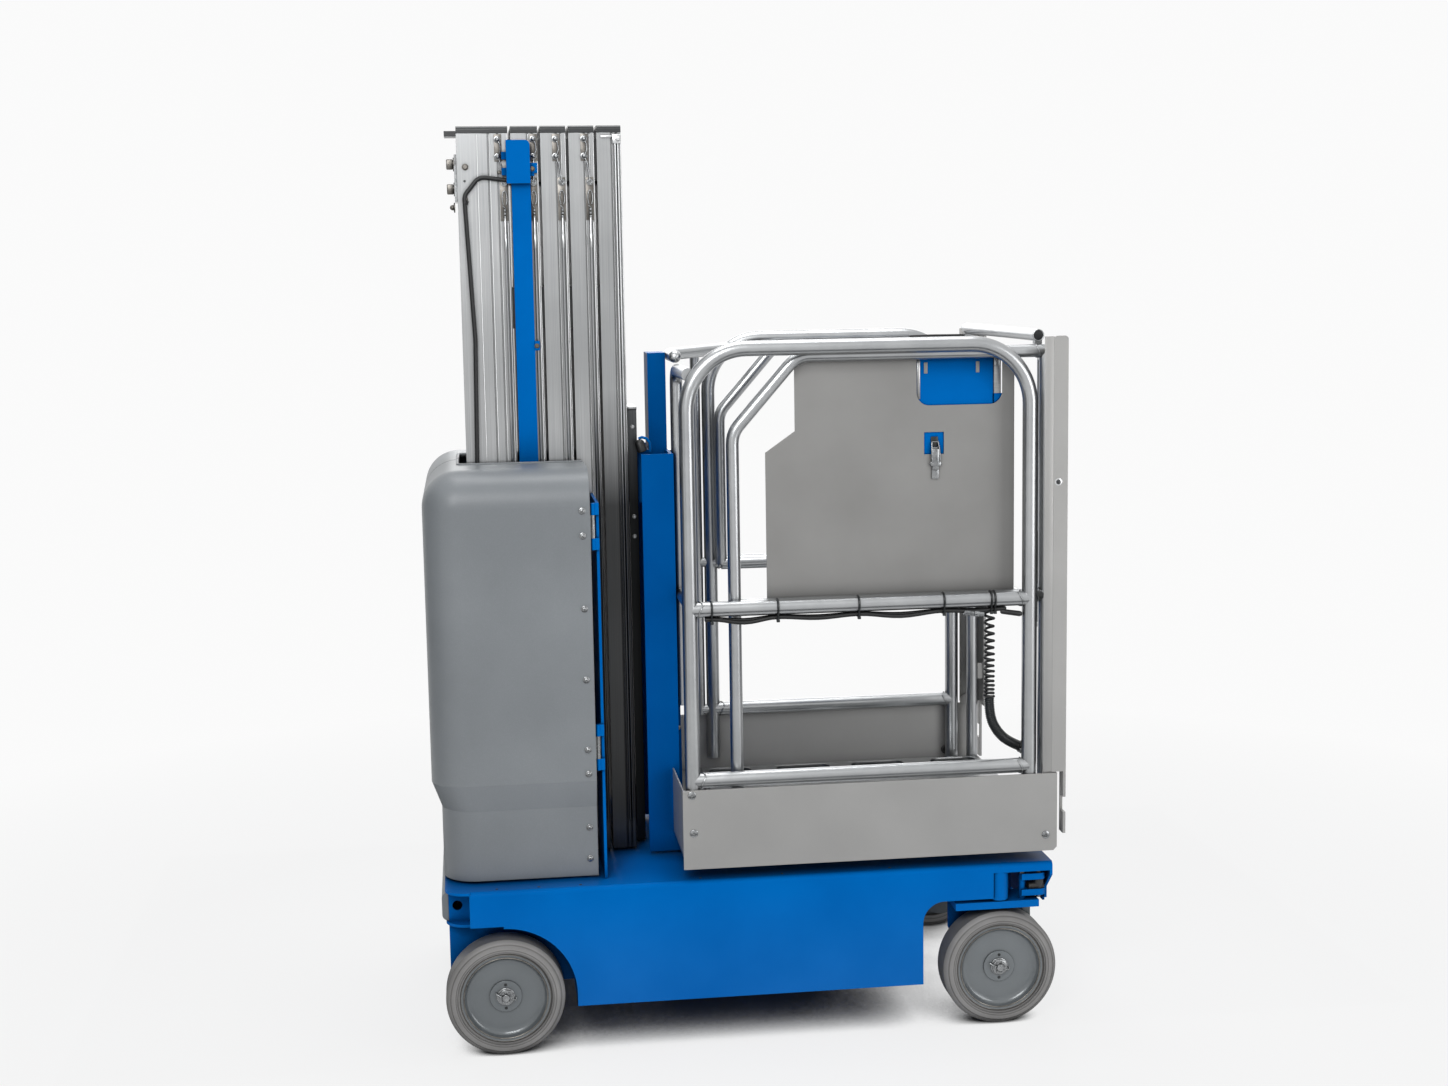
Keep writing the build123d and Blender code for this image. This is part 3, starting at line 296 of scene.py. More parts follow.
ringShaded = addNode(tree, "Mix", darken, {0: 1.0}, {6: before, 7: rings})
tree.links.new(ringShaded.outputs[2], tyreShader.inputs["Base Color"])

# injection moulded black nylon: a soft gloss on caps and plugs
blackNylon = mouldMaterial("blackNylon", {
    "dark": "#0E1214", "light": "#1A1F22", "roughness": 0.34, "ior": 1.53, "grain": 1500.0, "bump": 0.1,
    "edge": 1.5})
# black cable jacket: extruded and almost matt
blackJacket = mouldMaterial("blackJacket", {
    "dark": "#0C0D0E", "light": "#161718", "roughness": 0.48, "ior": 1.5, "grain": 2500.0, "bump": 0.1,
    "cloud": 30.0})

wheelNames = [f"{end}_{name}" for end in ("rear", "front") for name, side in nearFar]
nodeLooks = {
    bluePowderCoat: ["chassis_shell", "chassis_frame", "mast_support", "mast_guide_bar",
                     "steering_yoke_near", "steering_yoke_far", "control_box"],
    shadedBluePowderCoat: ["carriage_frame"],
    silverPowderCoat: ["toe_boards", "side_panel", "end_posts"],
    darkEnamel: ["rear_axle", "heavy_blocks", "steering_link"],
    shadedExtrusion: ["carriage_slide"],
    greyEnamel: ["drive_motor_near", "drive_motor_far"] + ["hub_" + name for name in wheelNames],
    drawnAluminium: ["guard_rails", "mast_side_rails", "extension_rails", "entry_top_bar",
                     "entry_guides", "entry_mid_rail"],
    anodisedExtrusion: [f"mast_column_{k}" for k in range(1, 6)],
    millAluminium: ["platform_floor", "extension_deck"],
    zincSteel: ["mast_rear_plate", "cover_hinges_near", "cover_hinges_far"],
    greyPolyethylene: ["base_cover_near", "base_cover_far", "rear_bumper"],
    greyRubber: ["tyre_" + name for name in wheelNames],
    blackNylon: [f"mast_cap_{k}" for k in range(1, 6)] + [f"slide_pads_{k}" for k in range(1, 5)]
    + ["slide_strips"],
    blackJacket: ["mast_lead", "rail_cables"],
}
dressed = set()
for material, names in nodeLooks.items():
    for name in names:
        nodes[name].data.materials.clear()
        nodes[name].data.materials.append(material)
        dressed.add(name)
print("stage: materials on CAD nodes, without one:", sorted(set(nodes) - dressed))


# mesh builders, all sizes in mm
def addBox(bm, x0, x1, y0, y1, z0, z1, rounded=0.0):
    made = bmesh.ops.create_cube(bm, size=1.0)["verts"]
    bmesh.ops.scale(bm, vec=((x1 - x0) * mm, abs(y1 - y0) * mm, (z1 - z0) * mm), verts=made)
    bmesh.ops.translate(bm, vec=((x0 + x1) / 2 * mm, (y0 + y1) / 2 * mm, (z0 + z1) / 2 * mm), verts=made)
    if rounded:
        edges = list({e for v in made for e in v.link_edges})
        bmesh.ops.bevel(bm, geom=edges, offset=rounded * mm, segments=2, profile=0.5, affect="EDGES")


# an axis as a unit, and two directions square to it
def acrossAxis(axis):
    axis = Vector(axis).normalized()
    side = axis.orthogonal().normalized()
    return axis, side, axis.cross(side)


def circle(centre, side, other, radius, count):
    turns = [2 * pi * k / count for k in range(count)]
    return [centre + (side * cos(a) + other * sin(a)) * radius for a in turns]


# a skin over rings of points, which are in metres, with flat ends when capped
def addSkin(bm, rings, capped=True):
    rings = [[bm.verts.new(point) for point in ring] for ring in rings]
    for a, b in zip(rings, rings[1:]):
        for k in range(len(a)):
            n = (k + 1) % len(a)
            bm.faces.new((a[k], a[n], b[n], b[k]))
    if capped:
        bm.faces.new(list(reversed(rings[0])))
        bm.faces.new(rings[-1])


# a turned form from (distance along the axis, radius) steps
def addTurned(bm, start, axis, steps, sides=24):
    axis, side, other = acrossAxis(axis)
    addSkin(bm, [circle(Vector(start) * mm + axis * along * mm, side, other, radius * mm, sides)
                 for along, radius in steps])


# a round bar along a list of points, its radius one number or one for each point
def addBar(bm, points, radius, sides=10, normal=None):
    points = [Vector(p) * mm for p in points]
    radii = radius if isinstance(radius, list) else [radius] * len(points)
    normal = normal or (points[1] - points[0]).orthogonal()
    rings = []
    for k, point in enumerate(points):
        way = (points[min(k + 1, len(points) - 1)] - points[max(k - 1, 0)]).normalized()
        normal = (normal - way * normal.dot(way)).normalized()
        rings.append(circle(point, normal, way.cross(normal), radii[k] * mm, sides))
    addSkin(bm, rings)


# washer, chamfered hexagon head and a shallow crown, pointing out along the axis
def addBolt(bm, at, axis, flats, tall):
    addTurned(bm, at, axis, [(0, flats * 0.72), (flats * 0.1, flats * 0.72)], 20)
    top = Vector(at) + Vector(axis).normalized() * flats * 0.1
    addTurned(bm, top, axis, [(0, flats * 0.577), (tall * 0.8, flats * 0.577), (tall, flats * 0.48)], 6)


def addBall(bm, at, radius):
    steps = []
    for k in range(9):
        angle = pi * (k + 0.02) / 8.04
        steps.append((-radius * cos(angle), max(radius * sin(angle), radius * 0.02)))
    addTurned(bm, at, (0, -1, 0), steps, 16)


def addRing(bm, at, axis, radius, wire, sides=28):
    axis, side, other = acrossAxis(axis)
    points = circle(Vector(at), side, other, radius, sides)
    addBar(bm, points + points[:1], wire, 8)


def addObject(name, data):
    made = bpy.data.objects.new(name, data)
    bpy.context.scene.collection.objects.link(made)
    return made


# one piece of the dressing: mesh, finish, soft edges, and the body that it rides on
def makePiece(name, body, material, fill, rounded=0.0, details=()):
    bm = bmesh.new()
    fill(bm, *details)
    bmesh.ops.recalc_face_normals(bm, faces=bm.faces)
    mesh = bpy.data.meshes.new(name)
    bm.to_mesh(mesh)
    bm.free()
    mesh.materials.append(material)
    piece = addObject(name, mesh)
    if rounded:
        bevel = piece.modifiers.new("edge", "BEVEL")
        bevel.width = rounded * mm
        bevel.segments = 2
        bevel.limit_method = "ANGLE"
        bevel.angle_limit = radians(40)
    for face in mesh.polygons:
        face.use_smooth = True
    mesh.set_sharp_from_angle(angle=radians(38))
    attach(piece, body)
    return piece


# the same piece on the near and on the far body
def makePair(stem, body, material, fill):
    for name, side in nearFar:
        makePiece(f"{stem}_{name}", f"{body}_{name}", material, fill, details=(side,))


# mast head: rope anchors, thimbles and ropes on each column's near face
mastHead = {
    "faceY": -118.0,
    # body, x of the ball studs, x of the thimble and rope
    "columns": [("chassis", -505.6, -493.5), ("mast_2", -428.6, -430.0), ("mast_3", -380.5, -369.0),
                ("mast_4", -319.0, -308.0)],
    "ballZ": (1963.0, 1926.5), "studPlate": (1916.0, 1974.0), "plateTop": 1881.0, "plateBottom": 1789.0,
    "ropeFoot": 440.0,
}


def fillAnchors(bm, ballX, ropeX):
    y = mastHead["faceY"]
    low, high = mastHead["plateBottom"], mastHead["plateTop"]
    upper, lower = mastHead["ballZ"]
    for z in mastHead["ballZ"]:
        addTurned(bm, (ballX, y, z), (0, -1, 0), [(0, 7.5), (2.2, 7.5), (2.8, 5.5)], 20)
        addBall(bm, (ballX, y - 5.2, z), 5.2)
    addBar(bm, [(ballX, y - 5, upper), (ballX + 5, y - 6, upper - 10), (ballX + 6, y - 6, upper - 23),
                (ballX + 1, y - 5, lower + 0.5)], 1.5, 8)
    addBar(bm, [(ballX + 1, y - 5, lower - 0.5), (ballX * 0.4 + ropeX * 0.6, y - 5, lower - 18.5),
                (ropeX, y - 5, high - 8)], 1.7, 8)
    addTurned(bm, (ropeX, y, high - 10), (0, -1, 0), [(0, 7.6), (3.5, 7.6)], 20)
    addRing(bm, (ropeX, y - 4, high - 10), (0, 1, 0), 4.2, 1.3, 18)
    eye = []
    for k in range(15):
        angle = radians(-60 + 300 * k / 14)
        eye.append((ropeX + 5.2 * cos(angle), y - 5, high - 44 + 16 * sin(angle)))
    addBar(bm, eye, 1.5, 8)
    addBar(bm, [(ropeX - 4, y - 5, high - 60), (ropeX + 2, y - 5, low + 26)], 1.5, 8)
    for k in range(3):
        addTurned(bm, (ropeX, y - 5, low + 6 + 7 * k), (0, 0, 1),
                  [(0, 2.6), (0.6, 3.3), (4.4, 3.3), (5, 2.6)], 14)


def fillBacks(bm, ballX, ropeX):
    y = mastHead["faceY"]
    addBox(bm, ballX - 7, ballX + 9, y - 0.9, y, *mastHead["studPlate"], 0.3)
    addBox(bm, ropeX - 9, ropeX + 8, y - 1.2, y, mastHead["plateBottom"], mastHead["plateTop"], 0.4)


def fillRopes(bm, ropeX):
    y, foot, low = mastHead["faceY"], mastHead["ropeFoot"], mastHead["plateBottom"]
    run = low - foot
    addTurned(bm, (ropeX, y - 5, foot), (0, 0, 1),
              [(0, 2.4), (run - 60, 2.4), (run - 59, 3.2), (run - 30, 3.2), (run - 29, 2.4),
               (run + 10, 2.4)], 14)
    addBar(bm, [(ropeX + 6.5, y - 3.5, foot), (ropeX + 6.5, y - 3.5, low - 4)], 1.8, 10)


for index, (body, ballX, ropeX) in enumerate(mastHead["columns"], 1):
    makePiece(f"ropeAnchors_{index}", body, zincSteel, fillAnchors, 0.3, (ballX, ropeX))
    makePiece(f"anchorBacks_{index}", body, oiledSteel, fillBacks, details=(ballX, ropeX))
    makePiece(f"ropes_{index}", body, brightSteelAndHighlight, fillRopes, details=(ropeX,))

# last column: hanger bracket with two thin rods
lastHead = {"x": -248.0, "rods": (-3.2, 3.0), "top": 1972.0, "foot": 440.0}


def fillLastHead(bm):
    x, y, top = lastHead["x"], mastHead["faceY"], lastHead["top"]
    addBox(bm, x - 9, x + 9, y - 6, y, top - 20, top, 1.5)
    addBox(bm, x - 34, x - 9, y - 3, y, top - 7, top - 2, 0.8)
    addTurned(bm, (x + 3, y - 6, top - 10), (0, -1, 0), [(0, 5), (1, 5), (2.5, 3.2)], 16)
    for dx in lastHead["rods"]:
        addBar(bm, [(x + dx, y - 3, lastHead["foot"]), (x + dx, y - 3, top - 18)], 2.2, 12)


makePiece("lastHeadRods", "mast_5", brightSteelAndHighlight, fillLastHead, 0.3)

# hood side tab that reaches over the second column, and the guide bar's tab, with their yellow bolts
hoodTab = {"x": (-443.0, -428.0, -421.0), "y": (-136.0, -130.6), "z": (1884.0, 1890.0, 1912.0),
           "bolt": (-432.0, 1899.0)}
guideTab = {"x": (-439.0, -426.5), "y": (-131.3, -127.5), "z": (1508.0, 1529.0), "bolt": (-432.6, 1518.0)}


def fillHoodTab(bm):
    left, notch, right = hoodTab["x"]
    foot, step, top = hoodTab["z"]
    addBox(bm, left, right, *hoodTab["y"], step, top, 1.5)
    addBox(bm, left, notch, *hoodTab["y"], foot, step, 1.0)
    addBox(bm, *guideTab["x"], *guideTab["y"], *guideTab["z"], 1.0)


def fillHoodBolts(bm):
    for tab in (hoodTab, guideTab):
        addBolt(bm, (tab["bolt"][0], tab["y"][0], tab["bolt"][1]), (0, -1, 0), 7.5, 4)


makePiece("hoodTab", "chassis", bluePowderCoat, fillHoodTab, 0.4)
makePiece("hoodBolts", "chassis", brassSteel, fillHoodBolts, 0.2)

# bolts on the first column, square nuts and a stud on the rear plate, a clip for the lead
columnBolts = {"near": ((-576.0, 1905.0, 10), (-578.0, 1837.0, 9), (-503.0, 1893.0, 6)), "plateX": -600.3,
               "nuts": (1916, 1862), "stud": 1822, "hole": (-578.0, 1875.0), "clip": (-577.0, 1828.0)}


def fillColumnBolts(bm):
    plate, stud = columnBolts["plateX"], columnBolts["stud"]
    for x, z, flats in columnBolts["near"]:
        addBolt(bm, (x, mastHead["faceY"], z), (0, -1, 0), flats, flats * 0.55)
    for z in columnBolts["nuts"]:
        addTurned(bm, (plate, -22, z), (-1, 0, 0), [(0, 15), (2, 15)], 24)
        addBox(bm, plate - 16.7, plate - 2, -33, -11, z - 11, z + 11, 2.2)
    addTurned(bm, (plate, -26, stud), (-1, 0, 0), [(0, 11), (2.5, 11), (3.5, 7)], 22)
    addBall(bm, (plate - 5.7, -30, stud), 6)


def fillLeadClip(bm):
    y = mastHead["faceY"]
    x, z = columnBolts["hole"]
    addTurned(bm, (x, y, z), (0, -1, 0), [(0, 2.6), (0.35, 2.6), (0.4, 2.2)], 14)
    x, z = columnBolts["clip"]
    addBox(bm, x - 6, x + 6, y - 5, y, z, z + 5, 1.0)
    addRing(bm, (x - 0.5, y - 4.8, z - 1), (0.25, 0, 1), 5.2, 1.1, 18)


makePiece("columnBolts", "chassis", oiledSteel, fillColumnBolts, 0.3)
makePiece("leadClip", "chassis", blackNylon, fillLeadClip)

# thin near-white bars down each column's near and far face, at shares of its depth: painted highlights of the
# extrusion's ridges
columns = {"rear": (-594.0, -477.0, -413.0, -352.0, -291.0), "depth": (111.0, 58.0, 55.0, 55.0, 53.0),
           "foot": 376.0, "top": 1974.0, "side": 118.1, "shares": (0.64, 0.82, 0.975), "firstShare": 0.4}


def fillHighlightBars(bm, rear, depth, shares):
    for y in (-columns["side"], columns["side"]):
        for x in (rear + depth * share for share in shares):
            addBar(bm, [(x, y, columns["foot"]), (x, y, columns["top"])], 0.75, 8)


for index, (rear, depth) in enumerate(zip(columns["rear"], columns["depth"]), 1):
    body = "chassis" if index == 1 else f"mast_{index}"
    shares = columns["shares"] if index > 1 else (columns["firstShare"],) + columns["shares"]
    makePiece(f"columnHighlightBars_{index}", body, brightSteelAndHighlight, fillHighlightBars,
              details=(rear, depth, shares))
print("stage: mast head")


# base cover: bolts down the flange, edge trim round the mast opening
cover = {"boltX": -355.0, "boltZ": (1175.0, 1121.6, 964.7, 810.5, 657.2, 604.2, 479.9, 410.8),
         "highY": 330.0, "lowY": 310.0, "bandZ": 557.0, "topZ": 1262.0, "openX": (-614.0, -342.0),
         "openY": 138.0, "corner": 10.0}


def fillCoverBolts(bm, side):
    for z in cover["boltZ"]:
        y = cover["highY"] if z > cover["bandZ"] else cover["lowY"]
        addTurned(bm, (cover["boltX"], side * y, z), (0, side, 0), [(0, 7.2), (1.4, 7.2), (1.8, 6.4)], 22)
        addTurned(bm, (cover["boltX"], side * (y + 1.6), z), (0, side, 0),
                  [(0, 4.6), (2.6, 4.3), (3.4, 3.2), (3.5, 1.6), (2.2, 1.5)], 18)


def fillCoverTrim(bm, side):
    x, front = cover["openX"]
    y, z, bend = side * cover["openY"], cover["topZ"], cover["corner"]
    corner = []
    for k in range(5):
        angle = radians(90 * k / 4)
        corner.append((x + bend - bend * sin(angle), y - side * bend * (1 - cos(angle)), z))
    addBar(bm, [(front, y, z)] + corner + [(x, side * 5, z)], 3.4, 10)


makePair("coverBolts", "cover", zincSteel, fillCoverBolts)
makePair("coverTrim", "cover", greyPolyethylene, fillCoverTrim)
print("stage: base cover")


# wheels: dull lip, pressed bowl, boss plate, castle nut and split pin
wheel = {"rear": -548.0, "front": 546.0, "z": 128.0, "lipY": 371.0, "bossY": 358.0, "holes": 26.0,
         # radius and y of the bowl, from the lip to the boss
         "bowl": ((88.6, 370.4), (86.5, 365.5), (83.5, 361.4), (79, 359.2), (70, 357.6), (58, 356.6),
                  (46, 356.0), (35, 355.8))}


def fillLip(bm, x, side):
    addRing(bm, (x, side * wheel["lipY"], wheel["z"]), (0, 1, 0), 90.0, 1.5, 72)
    addRing(bm, (x, side * (wheel["lipY"] - 0.4), wheel["z"]), (0, 1, 0), 96.6, 0.8, 72)


def fillBowl(bm, x, side):
    addSkin(bm, [circle(Vector((x, side * y, wheel["z"])) * mm, Vector((1, 0, 0)), Vector((0, 0, 1)),
                        radius * mm, 72) for radius, y in wheel["bowl"]], capped=False)


def fillRimLine(bm, x, side):
    addRing(bm, (x, side * (wheel["lipY"] - 1.2), wheel["z"]), (0, 1, 0), 98.2, 0.9, 72)


def fillBoss(bm, x, side):
    addTurned(bm, (x, side * wheel["bossY"], wheel["z"]), (0, side, 0),
              [(-2.5, 35), (0.8, 35), (1.6, 34.2), (1.6, 19), (2.6, 18)], 48)


def fillBossHoles(bm, x, side):
    for rise in (wheel["holes"], -wheel["holes"]):
        addTurned(bm, (x, side * (wheel["bossY"] + 1.6), wheel["z"] + rise), (0, side, 0),
                  [(-1, 3.4), (0.25, 3.4), (0.3, 3.0)], 16)


def fillNut(bm, x, side):
    y, z = side * (wheel["bossY"] + 2.8), wheel["z"]
    addTurned(bm, (x, y, z), (0, side, 0), [(0, 19.5), (0.9, 19.5), (1.4, 18.8)], 28)
    addTurned(bm, (x, y + side * 1.2, z), (0, side, 0), [(0, 18.4), (4.6, 18.4), (5.2, 17.4)], 6)
    # the castle's six teeth
    for k in range(6):
        u = x + 11 * cos(radians(60 * k))
        w = z + 11 * sin(radians(60 * k))
        addBox(bm, u - 2.6, u + 2.6, y + side * 5.8, y + side * 9.6, w - 2.6, w + 2.6, 0.5)
    addTurned(bm, (x, y + side * 4, z), (0, side, 0), [(0, 8.6), (7, 8.6), (8.6, 7.4), (8.8, 2)], 24)
    pin = ((-22, 3, 9), (-15, 7.8, 5), (14, 7.8, -5), (21, 4, -7), (22, 3, -2))
    addBar(bm, [(x + dx, y + side * dy, z + dz) for dx, dy, dz in pin], 1.6, 8)


wheelPieces = (("rimLip", "dark_steel", oiledSteel, fillLip), ("bowl", "grey_hub", greyEnamel, fillBowl),
               ("rimLine", "black_rubber", blackJacket, fillRimLine),
               ("boss", "grey_hub", greyEnamel, fillBoss),
               ("bossHoles", "black_plastic", blackNylon, fillBossHoles))
for end in ("rear", "front"):
    for name, side in nearFar:
        for piece, slotName, material, fill in wheelPieces:
            makePiece(f"{piece}_{end}_{name}", f"wheel_{end}_{name}", material, fill,
                      details=(wheel[end], side))
        makePiece(f"axleNut_{end}_{name}", "chassis" if end == "rear" else f"yoke_{name}",
                  zincSteel, fillNut, 0.2, (wheel[end], side))
print("stage: wheels")


# chassis: small plugs along the fold, steering fork fasteners
chassis = {"plugX": (-560.0, -470.0, -380.0, -120.0, 60.0, 300.0), "plugY": 352.0, "topZ": 366.0,
           "forkX": 600.0, "linkX": 638.0, "pivotY": 350.0, "forkZ": 338.0, "underZ": 280.5, "bootZ": 306.0}


def fillPlugs(bm):
    for side in (-1, 1):
        for x in chassis["plugX"]:
            addTurned(bm, (x, side * chassis["plugY"], chassis["topZ"]), (0, 0, 1),
                      [(0, 3.4), (0.5, 3.2), (0.9, 2.0)], 14)


makePiece("foldPlugs", "chassis", blackNylon, fillPlugs)


def fillForkBolts(bm, side):
    y = side * chassis["pivotY"]
    addTurned(bm, (chassis["forkX"], y, chassis["forkZ"]), (0, 0, 1),
              [(0, 8.5), (1.2, 8.5), (1.3, 6.5), (4.5, 6.5), (5.2, 5.4)], 18)
    addTurned(bm, (chassis["linkX"], y, chassis["forkZ"]), (0, 0, 1),
              [(0, 8.0), (1.2, 8.0), (1.3, 6.2), (4.5, 6.2), (5.2, 5)], 6)
    addTurned(bm, (chassis["linkX"], y, chassis["underZ"]), (0, 0, 1),
              [(0, 5.6), (5.5, 6.2), (6, 7), (7.3, 7)], 6)


# rubber boot on the fork's pin
def fillBoot(bm, side):
    addTurned(bm, (chassis["linkX"] - 26, side * chassis["pivotY"], chassis["bootZ"]), (1, 0, 0),
              [(0, 7), (2, 10.4), (7, 9.2), (12, 10.8), (18, 9.6), (24, 11), (32, 10.4), (36, 8.4),
               (38, 5)], 22)


# apron behind the front lip, clear of the steering arms
apron = {"x": (655.5, 661.0), "top": 346.0, "centre": 184.0, "deep": 212.0, "high": 262.0,
         "y": (60.0, 215.0, 322.0)}


def fillApron(bm):
    inner, step, outer = apron["y"]
    addBox(bm, *apron["x"], -inner, inner, apron["centre"], apron["top"], 1.0)
    for side in (-1, 1):
        addBox(bm, *apron["x"], side * inner, side * step, apron["deep"], apron["top"], 1.0)
        addBox(bm, *apron["x"], side * step, side * outer, apron["high"], apron["top"], 1.0)


makePiece("noseApron", "chassis", shadedBluePowderCoat, fillApron, 0.3)
makePair("linkBoot", "yoke", blackJacket, fillBoot)
makePair("forkBolts", "yoke", zincSteel, fillForkBolts)
print("stage: chassis")


# carriage: slide bar cap and bolts, stop buffer on its hook
slideCap = {"x": (-233.0, -211.5), "y": 61.0, "z": (1368.0, 1369.5, 1375.0), "boltX": -222.0,
            "boltZ": (1127, 1082, 1330)}
buffer = {"x": -203.0, "y": -96.0, "z": 1276.0}
carriage = {"boltX": -134.0, "boltY": 84.0, "boltZ": (1215, 1060, 905, 878, 800, 640, 470)}


def fillSlideCap(bm):
    low, high = slideCap["z"][1:]
    addBox(bm, *slideCap["x"], -slideCap["y"], slideCap["y"], low, high, 1.2)
    for z in slideCap["boltZ"]:
        addBolt(bm, (slideCap["boltX"], 1 - slideCap["y"], z), (0, -1, 0), 7, 3.5)


def fillSlideGasket(bm):
    rear, front = slideCap["x"]
    y = slideCap["y"] - 0.5
    addBox(bm, rear + 0.5, front - 0.5, -y, y, *slideCap["z"][:2], 0.3)


def fillBuffer(bm):
    addTurned(bm, (buffer["x"], buffer["y"], buffer["z"]), (-0.35, 0, 1),
              [(0, 8), (2, 11), (22, 11), (27, 8), (29, 3)], 24)


def fillBufferHook(bm):
    steps = ((17, 0), (16, 20), (9, 30), (-1, 33), (-9, 30))
    addBar(bm, [(buffer["x"] + dx, buffer["y"], buffer["z"] + dz) for dx, dz in steps], 3.2, 12)


def fillCarriageBolts(bm):
    for side in (-1, 1):
        for z in carriage["boltZ"]:
            addBolt(bm, (carriage["boltX"], side * carriage["boltY"], z), (0, side, 0), 8, 4.5)


makePiece("carriageBolts", "platform", oiledSteel, fillCarriageBolts, 0.2)
makePiece("slideCap", "platform", millAluminium, fillSlideCap, 0.3)
makePiece("slideGasket", "platform", blackJacket, fillSlideGasket)
makePiece("stopBuffer", "platform", blackJacket, fillBuffer)
makePiece("bufferHook", "platform", bluePowderCoat, fillBufferHook)
print("stage: carriage")


# platform: welds, toe board bolts, ties and leads
rails = {"nearRear": -132.0, "farRear": 0.0, "front": 614.0, "outerY": 352.2, "outerR": 16.5, "midZ": 957.0,
         "lowZ": 583.5, "innerY": 315.2, "innerR": 14.0, "innerTop": 1492.0, "endX": 658.0}


# a bead ring where one tube ends against another
def fillWelds(bm, rows):
    for at, axis, radius in rows:
        axis, side, other = acrossAxis(axis)
        points = []
        for k in range(49):
            a = 2 * pi * k / 48
            saddle = radius * (1 - sqrt(max(0.0, 1 - (sin(a) * 0.92) ** 2))) * 0.9
            reach = radius + 0.5 + 0.25 * sin(a * 23)
            points.append(Vector(at) + (side * cos(a) + other * sin(a)) * reach - axis * saddle)
        addBar(bm, points, 1.5, 7)


weldRows = []
for y, rear in ((-rails["outerY"], rails["nearRear"]), (rails["outerY"], rails["farRear"])):
    for z in (rails["midZ"], rails["lowZ"]):
        weldRows.append(((rear + rails["outerR"] + 1, y, z), (-1, 0, 0), rails["outerR"]))
        weldRows.append(((rails["front"] - rails["outerR"] - 1, y, z), (1, 0, 0), rails["outerR"]))
innerWelds = [((rails["endX"] - rails["innerR"] - 1, y, z), (1, 0, 0), rails["innerR"])
              for y in (-rails["innerY"], rails["innerY"]) for z in (rails["midZ"], rails["innerTop"])]
makePiece("railWelds", "platform", drawnAluminium, fillWelds, details=(weldRows,))
makePiece("innerWelds", "extension", drawnAluminium, fillWelds, details=(innerWelds,))

# boards and posts at the full width, set in so that their bolt heads stand inside it
inset = {"boards": 2.4, "posts": 1.6}


def insetCopy(node, name, body, deep):
    source = nodes[node]
    mesh = source.data.copy()
    mesh.transform(source.matrix_world)
    edge = max(abs(v.co.y) for v in mesh.vertices)
    for vertex in mesh.vertices:
        if abs(vertex.co.y) > edge - 0.5 * mm:
            vertex.co.y = copysign(edge - deep * mm, vertex.co.y)
    mesh.materials.clear()
    mesh.materials.append(brightPowderCoat)
    piece = addObject(name, mesh)
    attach(piece, body)
    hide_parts(node)


insetCopy("toe_boards", "insetToeBoards", "platform", inset["boards"])
insetCopy("end_posts", "insetEndPosts", "extension", inset["posts"])

toeBoard = {"bolts": ((-137.0, 556.0), (-134.0, 472.0), (647.5, 428.0)), "y": 375.0,
            "gussetX": (640.0, 672.0), "gussetY": (369.0, 366.0), "gussetZ": (566.0, 574.0),
            "grommet": (601.0, 366.4, 447.0)}


def fillToeBolts(bm):
    for side in (-1, 1):
        for x, z in toeBoard["bolts"]:
            addTurned(bm, (x, side * (toeBoard["y"] - inset["boards"]), z), (0, side, 0),
                      [(0, 9), (0.9, 9), (2.2, 6), (2.3, 2.6), (1.7, 2.5)], 20)


# small plates with a hollowed edge between toe board and post
def fillGussets(bm):
    rear, front = toeBoard["gussetX"]
    foot, heel = toeBoard["gussetZ"]
    outline = [(rear, foot), (front, foot), (front, heel)]
    for k in range(9):
        a = radians(90 * k / 8)
        outline.append((front - 32 * sin(a), foot + 24 * cos(a) ** 0.6 + 2))
    for side in (-1, 1):
        addSkin(bm, [[Vector((x, side * y, z)) * mm for x, z in outline] for y in toeBoard["gussetY"]])


makePiece("toeBoardBolts", "platform", zincSteel, fillToeBolts)
makePiece("toeGussets", "platform", brightPowderCoat, fillGussets, 0.3)

# raised tray on the sliding deck: four long openings near the far edge, with dark sheets beneath them as
# painted shade in the openings
tray = {"x": (-40.0, 668.0), "y": (-294.0, 299.5), "z": (436.3, 444.4), "wellY": (205.0, 290.0),
        "wells": ((-24.0, 82.0), (146.0, 280.0), (335.0, 468.0), (538.0, 652.0)), "corner": 26.0,
        "wellShadeZ": (436.1, 437.2)}


def fillTray(bm):
    x0, x1 = tray["x"]
    y0, y1 = tray["y"]
    z0, z1 = tray["z"]
    near, farther = tray["wellY"]
    reach = tray["corner"]
    addBox(bm, x0, x1, y0, near, z0, z1, 0.8)
    addBox(bm, x0, x1, farther, y1, z0, z1, 0.8)
    stops = [x0] + [x for pair in tray["wells"] for x in pair] + [x1]
    for a, b in zip(stops[0::2], stops[1::2]):
        addBox(bm, a, b, near - 0.5, farther + 0.5, z0, z1, 0.8)
    # rounded corners of each opening
    for a, b in tray["wells"]:
        for x, y, start in ((a, near, 180), (b, near, 270), (b, farther, 0), (a, farther, 90)):
            cx = x + reach * (1 if x == a else -1)
            cy = y + reach * (1 if y == near else -1)
            turns = [radians(start + 11.25 * k) for k in range(9)]
            rim = [(x, y)] + [(cx + reach * cos(t), cy + reach * sin(t)) for t in turns]
            addSkin(bm, [[Vector((u, v, z)) * mm for u, v in rim] for z in (z1 - 0.4, z0)])


def fillWellShade(bm):
    near, farther = tray["wellY"]
    for a, b in tray["wells"]:
        addBox(bm, a - 2, b + 2, near - 2, farther + 2, *tray["wellShadeZ"], 0.2)


def fillGrommet(bm):
    addTurned(bm, toeBoard["grommet"], (0, -1, 0),
              [(0, 11), (1.2, 11), (2.2, 9.4), (2.3, 5), (1.2, 4.6)], 24)


